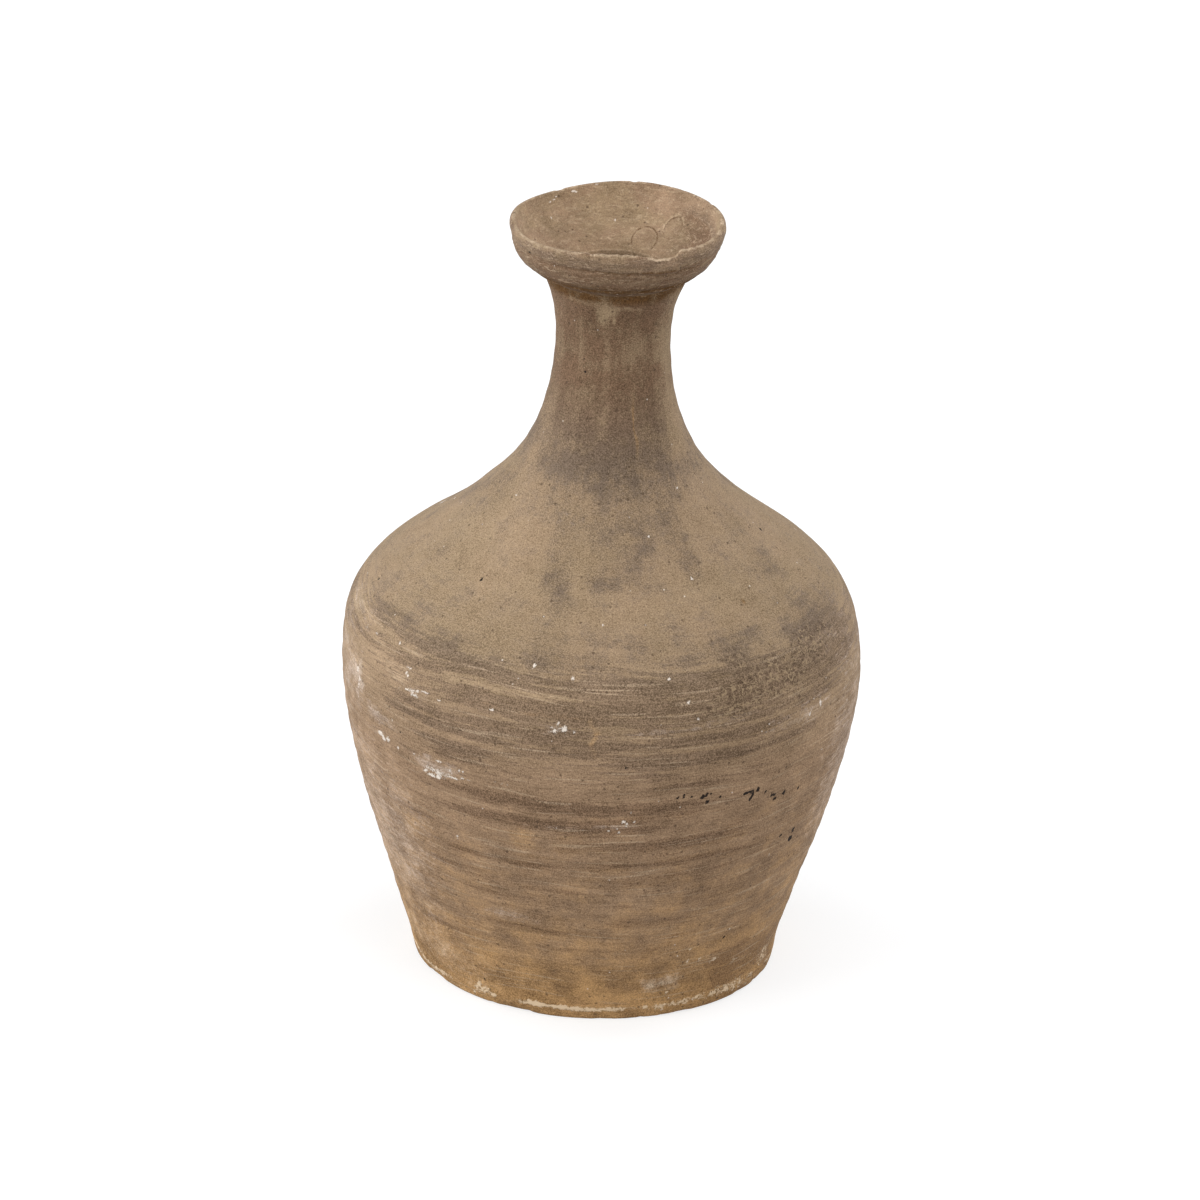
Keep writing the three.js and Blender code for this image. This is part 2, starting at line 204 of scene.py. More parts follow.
# Spots and specks of lime.
LIME_SPOTS = table(
    Spot,
    (-36.7, 8.9, 1.5, 1.6), (-35.8, 6.3, 1.1, 1.2), (-39.2, 3.2, 0.9, 0.9), (-31.5, 5.4, 1.9, 1.1),
    (17.5, 6.6, 1, 1), (29.2, 6.4, 1.9, 0.9), (34.6, 7.2, 1.4, 0.9), (41.5, 6.1, 1.4, 0.9),
    (46.3, 5.7, 1.5, 1.5), (23.7, 13.4, 0.9, 1.1), (28.3, 31.9, 1, 1.4, 0.7), (32.5, 31, 0.8, 1.1, 0.7),
    (28.5, 39, 1.6, 0.7, 0.7), (41, 44.5, 0.7, 0.7), (56, 20, 0.9, 1.1, 0.7), (-34, 99, 0.7, 0.7),
    (47.2, 85.1, 0.9, 0.9), (3.5, 87.5, 0.7, 0.7, 0.8), (2.8, 116.4, 1, 0.5, 0.7),
    (4.7, 117.5, 0.8, 0.6, 0.7), (4.9, 114.7, 0.9, 0.5, 0.7), (6.8, 119.2, 0.7, 0.7, 0.8),
    (6, 120.9, 0.7, 0.7, 0.8), (8.5, 121, 0.6, 0.5, 0.7), (7.5, 125.8, 0.6, 0.8, 0.8),
    (-9, 115.8, 1, 0.5, 0.6), (-13, 116.6, 0.8, 0.5, 0.6), (-3, 116, 0.9, 0.5, 0.6),
    (59.2, 134.7, 0.9, 0.9, 0.7), (57, 161, 0.6, 2.6, 0.8), (53, 159, 0.6, 1.2, 0.8),
    (39, 158.5, 0.6, 1, 0.7), (-40.8, 131.8, 1.6, 1), (-39.5, 130.2, 3, 0.8), (-37.2, 130.4, 1.6, 1),
    (-34, 137.1, 0.6, 2, 0.8), (-36.9, 139.1, 2, 0.6, 0.8), (-34.7, 133.2, 2, 0.8),
    (-32.6, 132.9, 2.8, 0.6), (-30.6, 134.3, 0.9, 0.6), (-29, 134.3, 1, 0.6), (-24.9, 136, 1, 0.5),
    (-22.6, 136.8, 0.7, 0.5), (-21.1, 137, 0.7, 0.5), (-19.5, 136.8, 0.6, 0.6), (-31.5, 137.9, 0.6, 0.6),
    (-30.4, 138, 0.6, 0.6), (-44, 137.4, 1, 0.6), (-46, 137.1, 0.7, 0.6, 0.8),
    (-42.4, 138.2, 0.5, 2.4, 0.7), (-56.1, 138.5, 1.9, 1.1), (-55.1, 136.6, 1.2, 1.6),
    (-53.3, 137.9, 1.5, 1.6), (-49.7, 136.3, 0.9, 1), (-51.3, 149.9, 1, 1.6, 0.7), (-56.9, 146, 1, 0.6),
    (-67.4, 162.4, 1.2, 1.8, 0.8), (-66.3, 157.7, 0.8, 1.6), (-66.7, 153.8, 0.6, 3, 0.8),
    (-66.9, 147.7, 0.6, 3, 0.7), (-46.9, 168.8, 1.5, 0.8), (-45.4, 169.4, 2.2, 1.1, 0.9),
    (-43.6, 169.9, 1.2, 1.1, 0.8), (-44.2, 167.6, 2.8, 0.6, 0.8), (-49.4, 167.1, 0.7, 0.7, 0.8),
    (-47.6, 178.3, 1.6, 0.6), (-47.7, 176.3, 1, 0.8), (-47.4, 174.9, 0.6, 1.1), (-24, 172.2, 1.3, 0.6),
    (-7.5, 168.5, 1.3, 1.3), (-9.8, 167.4, 0.6, 0.5, 0.8), (-5.4, 167.2, 0.7, 0.5, 0.8),
    (-6.6, 190.4, 0.9, 1.3), (-16, 193.7, 0.8, 0.8), (-8.8, 171.2, 0.5, 0.5, 0.7), (20, 180, 0.8, 0.8),
    (22, 172, 0.8, 0.8), (13.5, 171.4, 0.7, 0.7, 0.8), (16, 190, 0.7, 0.7, 0.8),
    (-20.2, 186, 0.7, 0.7, 0.8), (-19.2, 187.7, 0.7, 0.6, 0.8), (-67.8, 182.8, 1.2, 0.7),
    (-62.9, 183.5, 0.9, 0.6, 0.8), (-53.5, 186, 1.1, 0.6, 0.9), (32, 222, 0.6, 0.6),
    (23.5, 205.7, 0.5, 0.5), (0, 209, 0.5, 0.5, 0.9), (46, 253.5, 0.9, 0.7, 0.6),
    (-56, 245.6, 0.9, 0.7, 0.6), (-54, 270, 0.5, 0.5), (-39, 331.7, 0.5, 0.5), (-63, 273.5, 0.5, 0.5),
    (12, 246, 0.4, 0.4), (20, 238, 0.4, 0.4), (4, 252, 0.4, 0.4),
)

# Burnt black flecks.
FLECKS = table(
    Spot,
    (12.5, 138.9, 0.6, 1.1, 0.9), (14.7, 139.7, 0.6, 0.8, 0.8), (17.8, 132.3, 0.7, 0.7),
    (19.3, 133.3, 0.7, 1.3), (21.2, 132.7, 0.6, 0.8, 0.9), (23.8, 131.4, 1, 1.1), (24.7, 132.5, 0.7, 1.1),
    (25.8, 132.7, 0.6, 0.6, 0.8), (24.9, 128.3, 0.7, 1.4), (28.1, 130.1, 0.7, 0.8),
    (30.7, 124.2, 0.8, 1, 0.7), (34.2, 128.2, 0.7, 0.8), (35.1, 128.9, 1.4, 0.8), (36.2, 128.4, 1.6, 0.8),
    (36.8, 126.7, 0.7, 1.6), (36.2, 124.3, 0.8, 1.1), (38, 128.9, 0.8, 1.5), (39.1, 125.7, 0.6, 0.6, 0.8),
    (40.3, 125.8, 0.8, 1), (41.3, 122.4, 0.6, 0.6, 0.8), (42.7, 122.8, 0.8, 1), (43.8, 122.5, 0.7, 0.8),
    (43.9, 119.9, 1.2, 1), (46.7, 121, 1.1, 1.6), (49.5, 119.3, 0.7, 0.6, 0.7), (51.8, 119.7, 0.9, 0.9),
    (44.7, 95.3, 0.7, 0.8, 0.7), (49.7, 94.6, 0.9, 1.1), (51, 93.8, 0.8, 0.8, 0.7), (54.8, 93.9, 1, 1.7),
    (54.7, 88.9, 1.4, 1.5), (58.3, 86.8, 0.8, 0.8, 0.7), (56.8, 83, 0.8, 1.6, 0.6),
    (62, 75.5, 0.8, 0.8, 0.7), (6, 151, 0.7, 0.8, 0.9), (-48.5, 145.7, 1.2, 0.9, 0.7),
    (-34.2, 13, 1.1, 1.2, 0.8), (40, 40, 0.9, 0.9, 0.9), (82, 224.5, 0.8, 0.8, 0.9),
    (-80, 195.7, 0.8, 0.8, 0.9), (-53, 368.5, 0.9, 0.7, 0.9), (-43.5, 215.7, 0.8, 0.8, 0.9),
    (-28, 314, 0.8, 0.8, 0.7), (-26, 308, 0.7, 0.7, 0.7), (-24.7, 141.3, 0.9, 1.4, 0.6),
)

# Where tiny black flecks lie among the larger ones.
FLECK_CLOUDS = table(
    Mark,
    (15, 136, 6.5, 3.6, 0.24), (24, 131.5, 5, 3, 0.28), (41, 125.5, 10, 2.8, 0.28, -0.45),
    (53, 91, 6, 6, 0.24),
)

# Rough, crackled clay with pale worm-like marks.
CRACKLE = table(
    Mark,
    (37, 180, 14, 9, 1), (26, 174, 8, 4.5, 0.9), (50, 186, 12, 8, 0.85), (30, 195, 10, 6, 0.55),
    (66, 190, 12, 9, 0.6), (48, 168, 10, 5, 0.45), (205, 180, 22, 9, 0.8),
)

# Small losses pressed or knocked out of the surface.
DENTS = table(
    Dent,
    (-6.6, 191.4, 1.7, 0.7), (40, 40, 1.7, 0.8), (-35, 12.5, 1.7, 0.6), (-53, 368.5, 1.3, 0.8),
    (82, 224.5, 1.5, 0.6), (-80, 195.7, 1.5, 0.6), (37, 127, 2.2, 0.3), (-43.5, 215.7, 1.4, 0.5),
    (150, 96, 2.2, 0.8), (212, 158, 1.9, 0.7), (196, 48, 2.4, 0.8), (121, 172, 1.8, 0.6),
)

# Losses along the lip: turn, half length in degrees, and how far the crest drops in millimetres.
LIP_SAGS = (
    (-62, 27, 2.2), (-27, 14, 0.5), (-2, 20, -0.4), (54, 10, 0.6), (72, 18, 1.2), (222, 36, 2.2),
    (165, 28, -0.5),
)
LIP_CHIPS = (
    (-13, 1.6, 0.4), (-4, 1.4, 0.3), (9, 2.0, 0.3), (17, 1.5, 0.3), (23, 1.8, 0.3), (30, 2.0, 0.2),
    (43, 1.4, 0.5), (48, 1.6, 0.4), (57, 1.3, 0.4), (118, 2.2, 0.4), (171, 1.8, 0.4), (214, 2.6, 0.5),
)

# The broken dip in the lip's front: its depth, and the turns where it falls and rises.
WORN_DIP = 2.9
WORN_DIP_FALL = (9, 27)
WORN_DIP_RISE = (34, 38.5)

# The wall's slow swellings on each side: height, spread and amount in millimetres.
LEFT_SWELLS = ((360.0, 3.0, 0.3), (347, 8, -0.9), (180, 11, 1.1), (216, 16, -2.5))
RIGHT_SWELLS = ((209, 14, 0.8),)

# Tool lines and joints round the wall, then the turn of the front's middle, how far the front reaches in
# degrees, and how far its lines climb in millimetres per degree.
GROOVES = table(
    Groove,
    (366.7, 0.7, 0.75, 0.75, True), (368.4, 0.9, -0.35, 0.75, True), (355.4, 1, 0.9, 0.5, False),
    (349.6, 0.9, 0.12, 0, False), (8.6, 0.8, 0.22, 0, False),
)
GROOVE_FRONT = 14
GROOVE_REACH = 54
GROOVE_CLIMB = 0.03

# How far the lip stands out on the left and on the right, in millimetres.
LIP_LEAN = (0.8, 0.5)

# A line up the middle of the dish's wall: radius and height.
DISH_WALL = ((28.0, 350.0), (41.0, 359.5), (47.5, 370.0), (48.7, 376.0))

# The bore's worn edge: the radius where it starts, its width and its drop.
BORE_EDGE = 27.5
BORE_ROUND = 6.0
BORE_DROP = 2.2

# Height of the lumps in the bowl, and how sharply a lean or swelling gathers at its side.
BOWL_LUMP = 0.30
SIDE_POWER = 1.5

# Heights where a part of the wall or bowl begins and ends, each from faint to full or full to faint.
LOWER_WALL = ((14, 40), (168, 190))
UPPER_WALL = ((200, 225), (335, 348))
TORN_BAND = ((356, 358), (365, 366.5))
LUMPY_BOWL = ((354, 357), (370, 374))

# Heights over which one thing comes or goes: the bore's worn edge, the lip's drop and lean, the wall's
# relief below the crest, the bowl's stains, and the crest's wear.
EDGE_RISE = (350, 353.5)
DROP_RISE = (359, 375.2)
LEAN_RISE = (362, 371)
RELIEF_END = (371, 374.5)
BOWL_END = (373.5, 375.8)
CREST = (374.9, 375.8)

# Chips out of the foot's lower edge: turn, half length in degrees, and depth in millimetres.
FOOT_CHIPS = ((-24, 6, 1.3), (-58, 4, 0.6), (30, 3, 0.8), (66, 4, 0.4), (140, 7, 1.2), (228, 5, 1.1))

# Stains in the bowl of the mouth.
BOWL_RINGS = table(
    Ring,
    (13.5, 24.4, 6.1, 8.2, 0.9), (13.5, 24.4, 5.4, 7.3, -0.6), (26.7, 26.3, 5.1, 6.7, -0.9),
    (26.7, 26.3, 4.4, 5.8, 0.6), (30.8, 11.6, 4.6, 6.4, -0.9),
)
BOWL_SMOKE = table(
    Mark,
    (134, 366, 9, 4.5, 0.6), (122, 368, 12, 4, 0.45), (118, 361, 16, 4, 0.4), (170, 361, 20, 4, 0.3),
    (92, 364, 38, 9, 0.95), (243, 361, 14, 3, 0.42), (214, 358, 16, 2.5, 0.4), (242, 367.5, 7, 3, 0.36),
    (70, 366, 22, 4, 0.6), (0, 362, 40, 4, 0.4),
)
BOWL_LIME_SPOTS = table(
    Spot,
    (220, 370.5, 0.7, 0.5), (218, 371.4, 0.5, 0.4), (223, 369.8, 0.6, 0.5, 0.8), (206, 372.4, 0.9, 0.5),
    (204.5, 371.8, 0.6, 0.4, 0.8), (192, 374.6, 1.2, 0.5), (181, 360.5, 0.4, 0.4),
    (160, 366, 0.4, 0.4, 0.8), (228, 364, 0.4, 0.4, 0.8),
)

# How deep smoke and ochre lie at each height, before the marks.
SMOKE_BY_HEIGHT = (
    (0, 0.26), (5, 0.14), (12, 0.10), (30, 0.16), (50, 0.22), (90, 0.24), (130, 0.27), (165, 0.43),
    (182, 0.49), (192, 0.44), (200, 0.35), (215, 0.29), (236, 0.32), (247, 0.37), (256, 0.47),
    # From 345 to 357 mm the high level is painted shade under the dish as well as smoke.
    (264, 0.68), (300, 0.78), (336, 0.78), (345, 0.84), (350, 0.95), (357, 0.92), (361, 0.70),
    (367, 0.66), (371, 0.60), (376, 0.40),
)
OCHRE_BY_HEIGHT = ((0, 1.0), (10, 0.95), (26, 0.75), (44, 0.55), (66, 0.44), (100, 0.34), (140, 0.12))

# Marks on the back: the seed, and how many bands, drips, specks and pieces of the foot's line there are.
BACK_SEED = 41
BACK_BANDS = 54
BACK_DRIPS = 14
BACK_SPECKS = 44
FOOT_PIECES = 18


def wrapped(turn):
    """Degrees brought into -180 to 180."""
    return (turn + FULL_TURN / 2) % FULL_TURN - FULL_TURN / 2


def smoothstep(value, low, high):
    """0 below low, 1 above high, and 3t^2 - 2t^3 between them."""
    part = np.clip((value - low) / (high - low), 0, 1)
    return part * part * (3 - 2 * part)


def hump(value, middle, spread):
    """A bell curve: exp(-((value - middle) / spread)^2)."""
    return np.exp(-((value - middle) / spread) ** 2)


def about(turn, middle, reach):
    """1 about a turn and 0 away from it, with a flat top: exp(-(degrees off / reach)^4)."""
    return np.exp(-(wrapped(turn - middle) / reach) ** 4)


def between(value, rise, fall):
    """1 between two limits, with a smooth rise and fall."""
    return smoothstep(value, *rise) * (1 - smoothstep(value, *fall))


def cloud(turn, height, noise):
    """Smooth noise from -1 to 1 that closes round the jug.

    A grid has a seeded number at each knot. A point blends the four knots about it by smoothstep.
    """
    knots = np.random.default_rng(noise.seed).uniform(-1, 1, (KNOT_ROWS, noise.cells))
    around = (turn % FULL_TURN) / FULL_TURN * noise.cells
    up = height / noise.tall
    left = np.floor(around).astype(int)
    low = np.floor(up).astype(int)
    across = smoothstep(around - left, 0, 1)
    rise = smoothstep(up - low, 0, 1)
    right = (left + 1) % noise.cells
    left = left % noise.cells
    high = (low + 1) % KNOT_ROWS
    low = low % KNOT_ROWS
    under = knots[low, left] * (1 - across) + knots[low, right] * across
    over = knots[high, left] * (1 - across) + knots[high, right] * across
    return under * (1 - rise) + over * rise


def covered(marks, turn, height):
    """How far marks cover a point, from 0 to 1.

    Each mark covers depth x exp(-(turn off it / reach)^4 - (height off it / thick)^2), and what is left
    bare is the product of what each leaves.
    """
    bare = np.ones_like(turn)
    for mark in marks:
        aside = wrapped(turn - mark.turn)
        across = aside / mark.reach
        up = (height - mark.height - mark.climb * aside) / mark.thick
        bare *= 1 - mark.depth * np.exp(-across ** 4 - up ** 2)
    return 1 - bare


def drawn(rng, count, *ranges):
    """Columns of seeded numbers, one for each range in turn."""
    return [rng.uniform(low, high, count) for low, high in ranges]


def back_bands():
    """Seeded wheel bands on the side that faces away, like those that show at the front."""
    rng = np.random.default_rng(BACK_SEED)
    bands = drawn(rng, BACK_BANDS, (78, 282), (8, 188), (8, 28), (1.0, 3.4), (0.4, 0.95))
    return [Mark(*row) for row in zip(*bands)]


def back_drips():
    """Seeded drips down the back of the shoulder and neck."""
    rng = np.random.default_rng(BACK_SEED + 1)
    low = drawn(rng, BACK_DRIPS, (88, 272), (222, 244), (2.5, 8), (4, 14), (0.20, 0.50))
    high = drawn(rng, BACK_DRIPS, (85, 275), (262, 342), (4, 12)) + low[3:]
    return [Mark(*row) for drips in (low, high) for row in zip(*drips)]


def spotted(spots, turn, height):
    """How strongly small spots cover a point, from 0 to 1.

    With d the distance from a spot's middle in units of its half sizes, measured along the wall, a spot
    gives depth x (1.25 - 0.75 d), cut to 0 and 1, and the strongest spot counts.
    """
    radius = wall_radius(height)
    found = np.zeros_like(turn)
    for spot in spots:
        aside = np.radians(wrapped(turn - spot.turn)) * radius / spot.wide
        up = (height - spot.height) / spot.tall
        found = np.maximum(found, spot.depth * np.clip(1.25 - 0.75 * np.hypot(aside, up), 0, 1))
    return found


def back_lime():
    """Seeded lime specks and crusts on the back."""
    rng = np.random.default_rng(BACK_SEED + 2)
    turns, heights = drawn(rng, BACK_SPECKS, (98, 262), (10, 250))
    sizes = rng.choice([0.6, 0.8, 1.2, 1.9], BACK_SPECKS, p=[0.45, 0.3, 0.15, 0.1])
    depths = rng.uniform(0.65, 1.0, BACK_SPECKS)
    return [Spot(*row) for row in zip(turns, heights, 1.3 * sizes, sizes, depths)]


def foot_lime():
    """Seeded pieces of the pale line above the foot, behind the jug."""
    rng = np.random.default_rng(BACK_SEED + 3)
    pieces = zip(*drawn(rng, FOOT_PIECES, (70, 290), (2, 9), (0.5, 0.9)))
    return [Mark(turn, 6.1, reach, 1.2, depth) for turn, reach, depth in pieces]


SMOKE_MARKS = (*BODY_SMOKE, *UPPER_SMOKE, *back_bands(), *back_drips())
LIME_MARKS = (*LIME, *foot_lime())
ALL_LIME_SPOTS = (*LIME_SPOTS, *back_lime())


def node_points(node):
    """A CAD node's turned outline on the -X side, as rows of radius and height, lowest first."""
    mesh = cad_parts[node].data
    places = np.empty(3 * len(mesh.vertices))
    mesh.vertices.foreach_get("co", places)
    places = places.reshape(-1, 3)
    side = places[(np.abs(places[:, 1]) < TOUCH) & (places[:, 0] < TOUCH)]
    points = np.unique(np.round(np.column_stack((-side[:, 0], side[:, 2])), 6), axis=0)
    return points[np.lexsort((points[:, 0], points[:, 1]))]


def wall_points(node, outer):
    """The outer or inner face of a wall: the largest or smallest radius at each height of its outline."""
    points = node_points(node)
    heights = np.unique(points[:, 1])
    pick = np.max if outer else np.min
    return np.array([(pick(points[points[:, 1] == height, 0]), height) for height in heights])


def closely(points, longest):
    """The same outline with points added on every chord that is longer than a length."""
    counts = np.ceil(np.hypot(*np.diff(points, axis=0).T) / longest).astype(int)
    chords = zip(points[:-1], points[1:], np.maximum(counts, 1))
    parts = [np.linspace(start, end, count, endpoint=False) for start, end, count in chords]
    return np.vstack([*parts, points[-1:]])


def through(points, step):
    """A smooth line through points, resampled about a step apart.

    It is a cubic Hermite curve over the length along the chords, with each point's slope taken from its
    neighbours.
    """
    chords = np.hypot(*np.diff(points, axis=0).T)
    along = np.concatenate(([0], np.cumsum(chords)))
    slopes = np.gradient(points, along, axis=0)
    count = max(2, int(math.ceil(along[-1] / step)) + 1)
    at = np.linspace(0, along[-1], count)
    part = np.clip(np.searchsorted(along, at, side="right") - 1, 0, len(along) - 2)
    span = (along[part + 1] - along[part])[:, None]
    t = ((at - along[part])[:, None]) / span
    start = (1 + 2 * t) * (1 - t) ** 2 * points[part] + t * (1 - t) ** 2 * span * slopes[part]
    end = t ** 2 * (3 - 2 * t) * points[part + 1] + t ** 2 * (t - 1) * span * slopes[part + 1]
    return start + end


def body_line():
    """The outer line from the slab's top edge to the mouth joint, as a fine run of radius and height."""
    slab = node_points("base_slab")
    edge = slab[slab[:, 0] > TOUCH][-1:]
    walls = [wall_points(node, True) for node in ("lower_body", "shoulder", "neck")]
    return through(np.vstack([edge, *walls]), LINE_STEP)


BODY_LINE = body_line()


def wall_radius(height):
    """The outer line's radius at a height, both in millimetres."""
    return np.interp(height, BODY_LINE[:, 1] / MM, BODY_LINE[:, 0] / MM)


def body_run(low, high, step):
    """The part of the outer line between two heights, resampled about a step apart along its length."""
    inside = (BODY_LINE[:, 1] > low) & (BODY_LINE[:, 1] < high)
    ends = [(np.interp(height, BODY_LINE[:, 1], BODY_LINE[:, 0]), height) for height in (low, high)]
    run = np.vstack([ends[:1], BODY_LINE[inside], ends[1:]])
    along = np.concatenate(([0], np.cumsum(np.hypot(*np.diff(run, axis=0).T))))
    at = np.linspace(0, along[-1], int(math.ceil(along[-1] / step)) + 1)
    return np.column_stack([np.interp(at, along, column) for column in run.T])


def swellings(turn, height):
    """The wall's slow departures from the turned line, in millimetres: a sum of humps on its sides."""
    side = np.sin(np.radians(turn))
    left = np.clip(-side, 0, 1) ** SIDE_POWER
    right = np.clip(side, 0, 1) ** SIDE_POWER
    swell = (0.3 - 0.8 * left) * smoothstep(height, 225, 262)
    for middle, spread, amount in LEFT_SWELLS:
        swell = swell + amount * left * hump(height, middle, spread)
    for middle, spread, amount in RIGHT_SWELLS:
        swell = swell + amount * right * hump(height, middle, spread)
    swell = swell - 0.9 * hump(wrapped(turn - 90), 0, 45) * hump(height, 164, 18)
    swell = swell + 2.1 * hump(wrapped(turn - 60), 0, 30) * (1 - smoothstep(height, 2, 20))
    return swell - 0.35 * between(height, (20, 50), (180, 200))


def grooves(turn, height):
    """Depth of the joints' grooves and of the tool lines on the dish, about -0.3 to 1: a sum of humps."""
    front = about(turn, GROOVE_FRONT, GROOVE_REACH)
    climbing = height + GROOVE_CLIMB * wrapped(turn - GROOVE_FRONT) * front
    depth = 0.28 * hump(height, 190.5, 0.9) * (0.6 + 0.4 * cloud(turn, height, SEAM_BREAKS))
    for groove in GROOVES:
        level = climbing if groove.climbs else height
        share = 1 - groove.front * (1 - front)
        depth = depth + groove.depth * share * hump(level, groove.height, groove.spread)
    return depth


def foot_losses(turn, height):
    """What nicks and chips take off the foot's lower edge, in millimetres."""
    lost = 1.1 * np.clip(cloud(turn, height, FOOT_NICKS) - 0.35, 0, 1)
    lost = lost * (1 - smoothstep(height, 1.5, 6.5))
    for middle, reach, depth in FOOT_CHIPS:
        lost = lost + depth * about(turn, middle, reach) * (1 - smoothstep(height, 0.5, 4.0))
    return lost


def dents(turn, height):
    """What dents take out of the wall, in millimetres: each is depth x exp(-(distance / size)^4)."""
    lost = np.zeros_like(turn)
    for dent in DENTS:
        across = np.radians(wrapped(turn - dent.turn)) * wall_radius(dent.height) / dent.size
        up = (height - dent.height) / dent.size
        lost = lost + dent.depth * np.exp(-(across ** 2 + up ** 2) ** 2)
    return lost


def wheel_offset(form, turn, height):
    """How far the outer face stands off the turned line, in metres. Height is in millimetres.

    It adds an oval, throwing ridges that wander, soft lumps, sand, the torn band under the lip and the
    slow swellings, and takes off the grooves, the foot's losses and the dents.
    """
    angle = np.radians(turn)
    oval = form.out_of_round * (0.6 * np.cos(2 * angle + 0.9) + 0.4 * np.sin(3 * angle + height / 60))
    lower = between(height, *LOWER_WALL)
    upper = between(height, *UPPER_WALL)
    wander = 1.6 * cloud(turn, height, WANDER) + 0.5 * np.sin(angle + 0.4)
    ridges = np.sin(2 * math.pi * height / form.ridge_pitch * MM + wander)
    fine = np.sin(2 * math.pi * height / FINE_RIDGE + 2.2 * cloud(turn, height, FINE_WANDER))
    thrown = form.ridge_height * (lower * (0.7 * ridges + 0.35 * fine) + 0.35 * upper * ridges)
    lumps = form.lump_height * (cloud(turn, height, BIG_LUMPS) + 0.5 * cloud(turn, height, SMALL_LUMPS))
    rough = 0.45 + 0.55 * lower + 1.2 * covered(CRACKLE, turn, height)
    torn = between(height, *TORN_BAND)
    sand = rough * cloud(turn, height, SAND) + 2.2 * torn * cloud(turn, height, TORN_CLAY)
    lost = foot_losses(turn, height) + dents(turn, height)
    offset = oval + thrown + lumps + form.sand_height * sand - form.groove_depth * grooves(turn, height)
    return offset + MM * (swellings(turn, height) - lost)


def lip_drop(turn):
    """How far the lip's crest is worn down, in metres: a broken dip, sags, chips and a ragged front."""
    aside = wrapped(turn)
    drop = WORN_DIP * between(aside, WORN_DIP_FALL, WORN_DIP_RISE)
    for middle, reach, depth in LIP_SAGS:
        drop = drop + depth * hump(wrapped(turn - middle), 0, reach)
    for middle, reach, depth in LIP_CHIPS:
        drop = drop + depth * about(turn, middle, reach)
    level = 0 * turn
    teeth = np.clip(cloud(turn, level, LIP_TEETH) - 0.15, 0, 1) + 0.35 * cloud(turn, level, LIP_FRAY)
    drop = drop + (0.12 + 0.5 * about(turn, 22, 36)) * np.clip(teeth, 0, 1)
    return drop * MM


def wall_smoke(turn, height, shaken, raised):
    """Smoke on the outer wall: the level at each height and the marks, less what was rubbed clean.

    The left side, the right of the neck and the right flank are paler. The flank goes below 0, so that
    noise leaves few streaks there.
    """
    # Painted light, in part: the left side and the right of the neck take less smoke where the lamps
    # light them.
    pale_and_lit_left = hump(wrapped(turn + 68), 0, 30) * (1 - smoothstep(height, 240, 256))
    pale_and_lit_left = pale_and_lit_left * (1 - 0.7 * smoothstep(height, 165, 190))
    pale_and_lit_neck_right = between(height, (256, 270), (345, 352)) * between(turn, (38, 70), (105, 170))
    flank = hump(wrapped(turn - 70), 0, 26) * between(height, (24, 60), (150, 172))
    level = np.interp(raised, *zip(*SMOKE_BY_HEIGHT))
    level = level * (1 - 0.45 * pale_and_lit_left) * (1 - 0.42 * pale_and_lit_neck_right) * (1 - 0.5 * flank)
    stain = covered(SMOKE_MARKS, shaken, raised) * (1 - 0.65 * flank) * (1 - 0.25 * pale_and_lit_left)
    clean = covered(CLEAN, shaken, raised)
    return (1 - (1 - level) * (1 - stain)) * (1 - 0.85 * clean) - 0.36 * flank


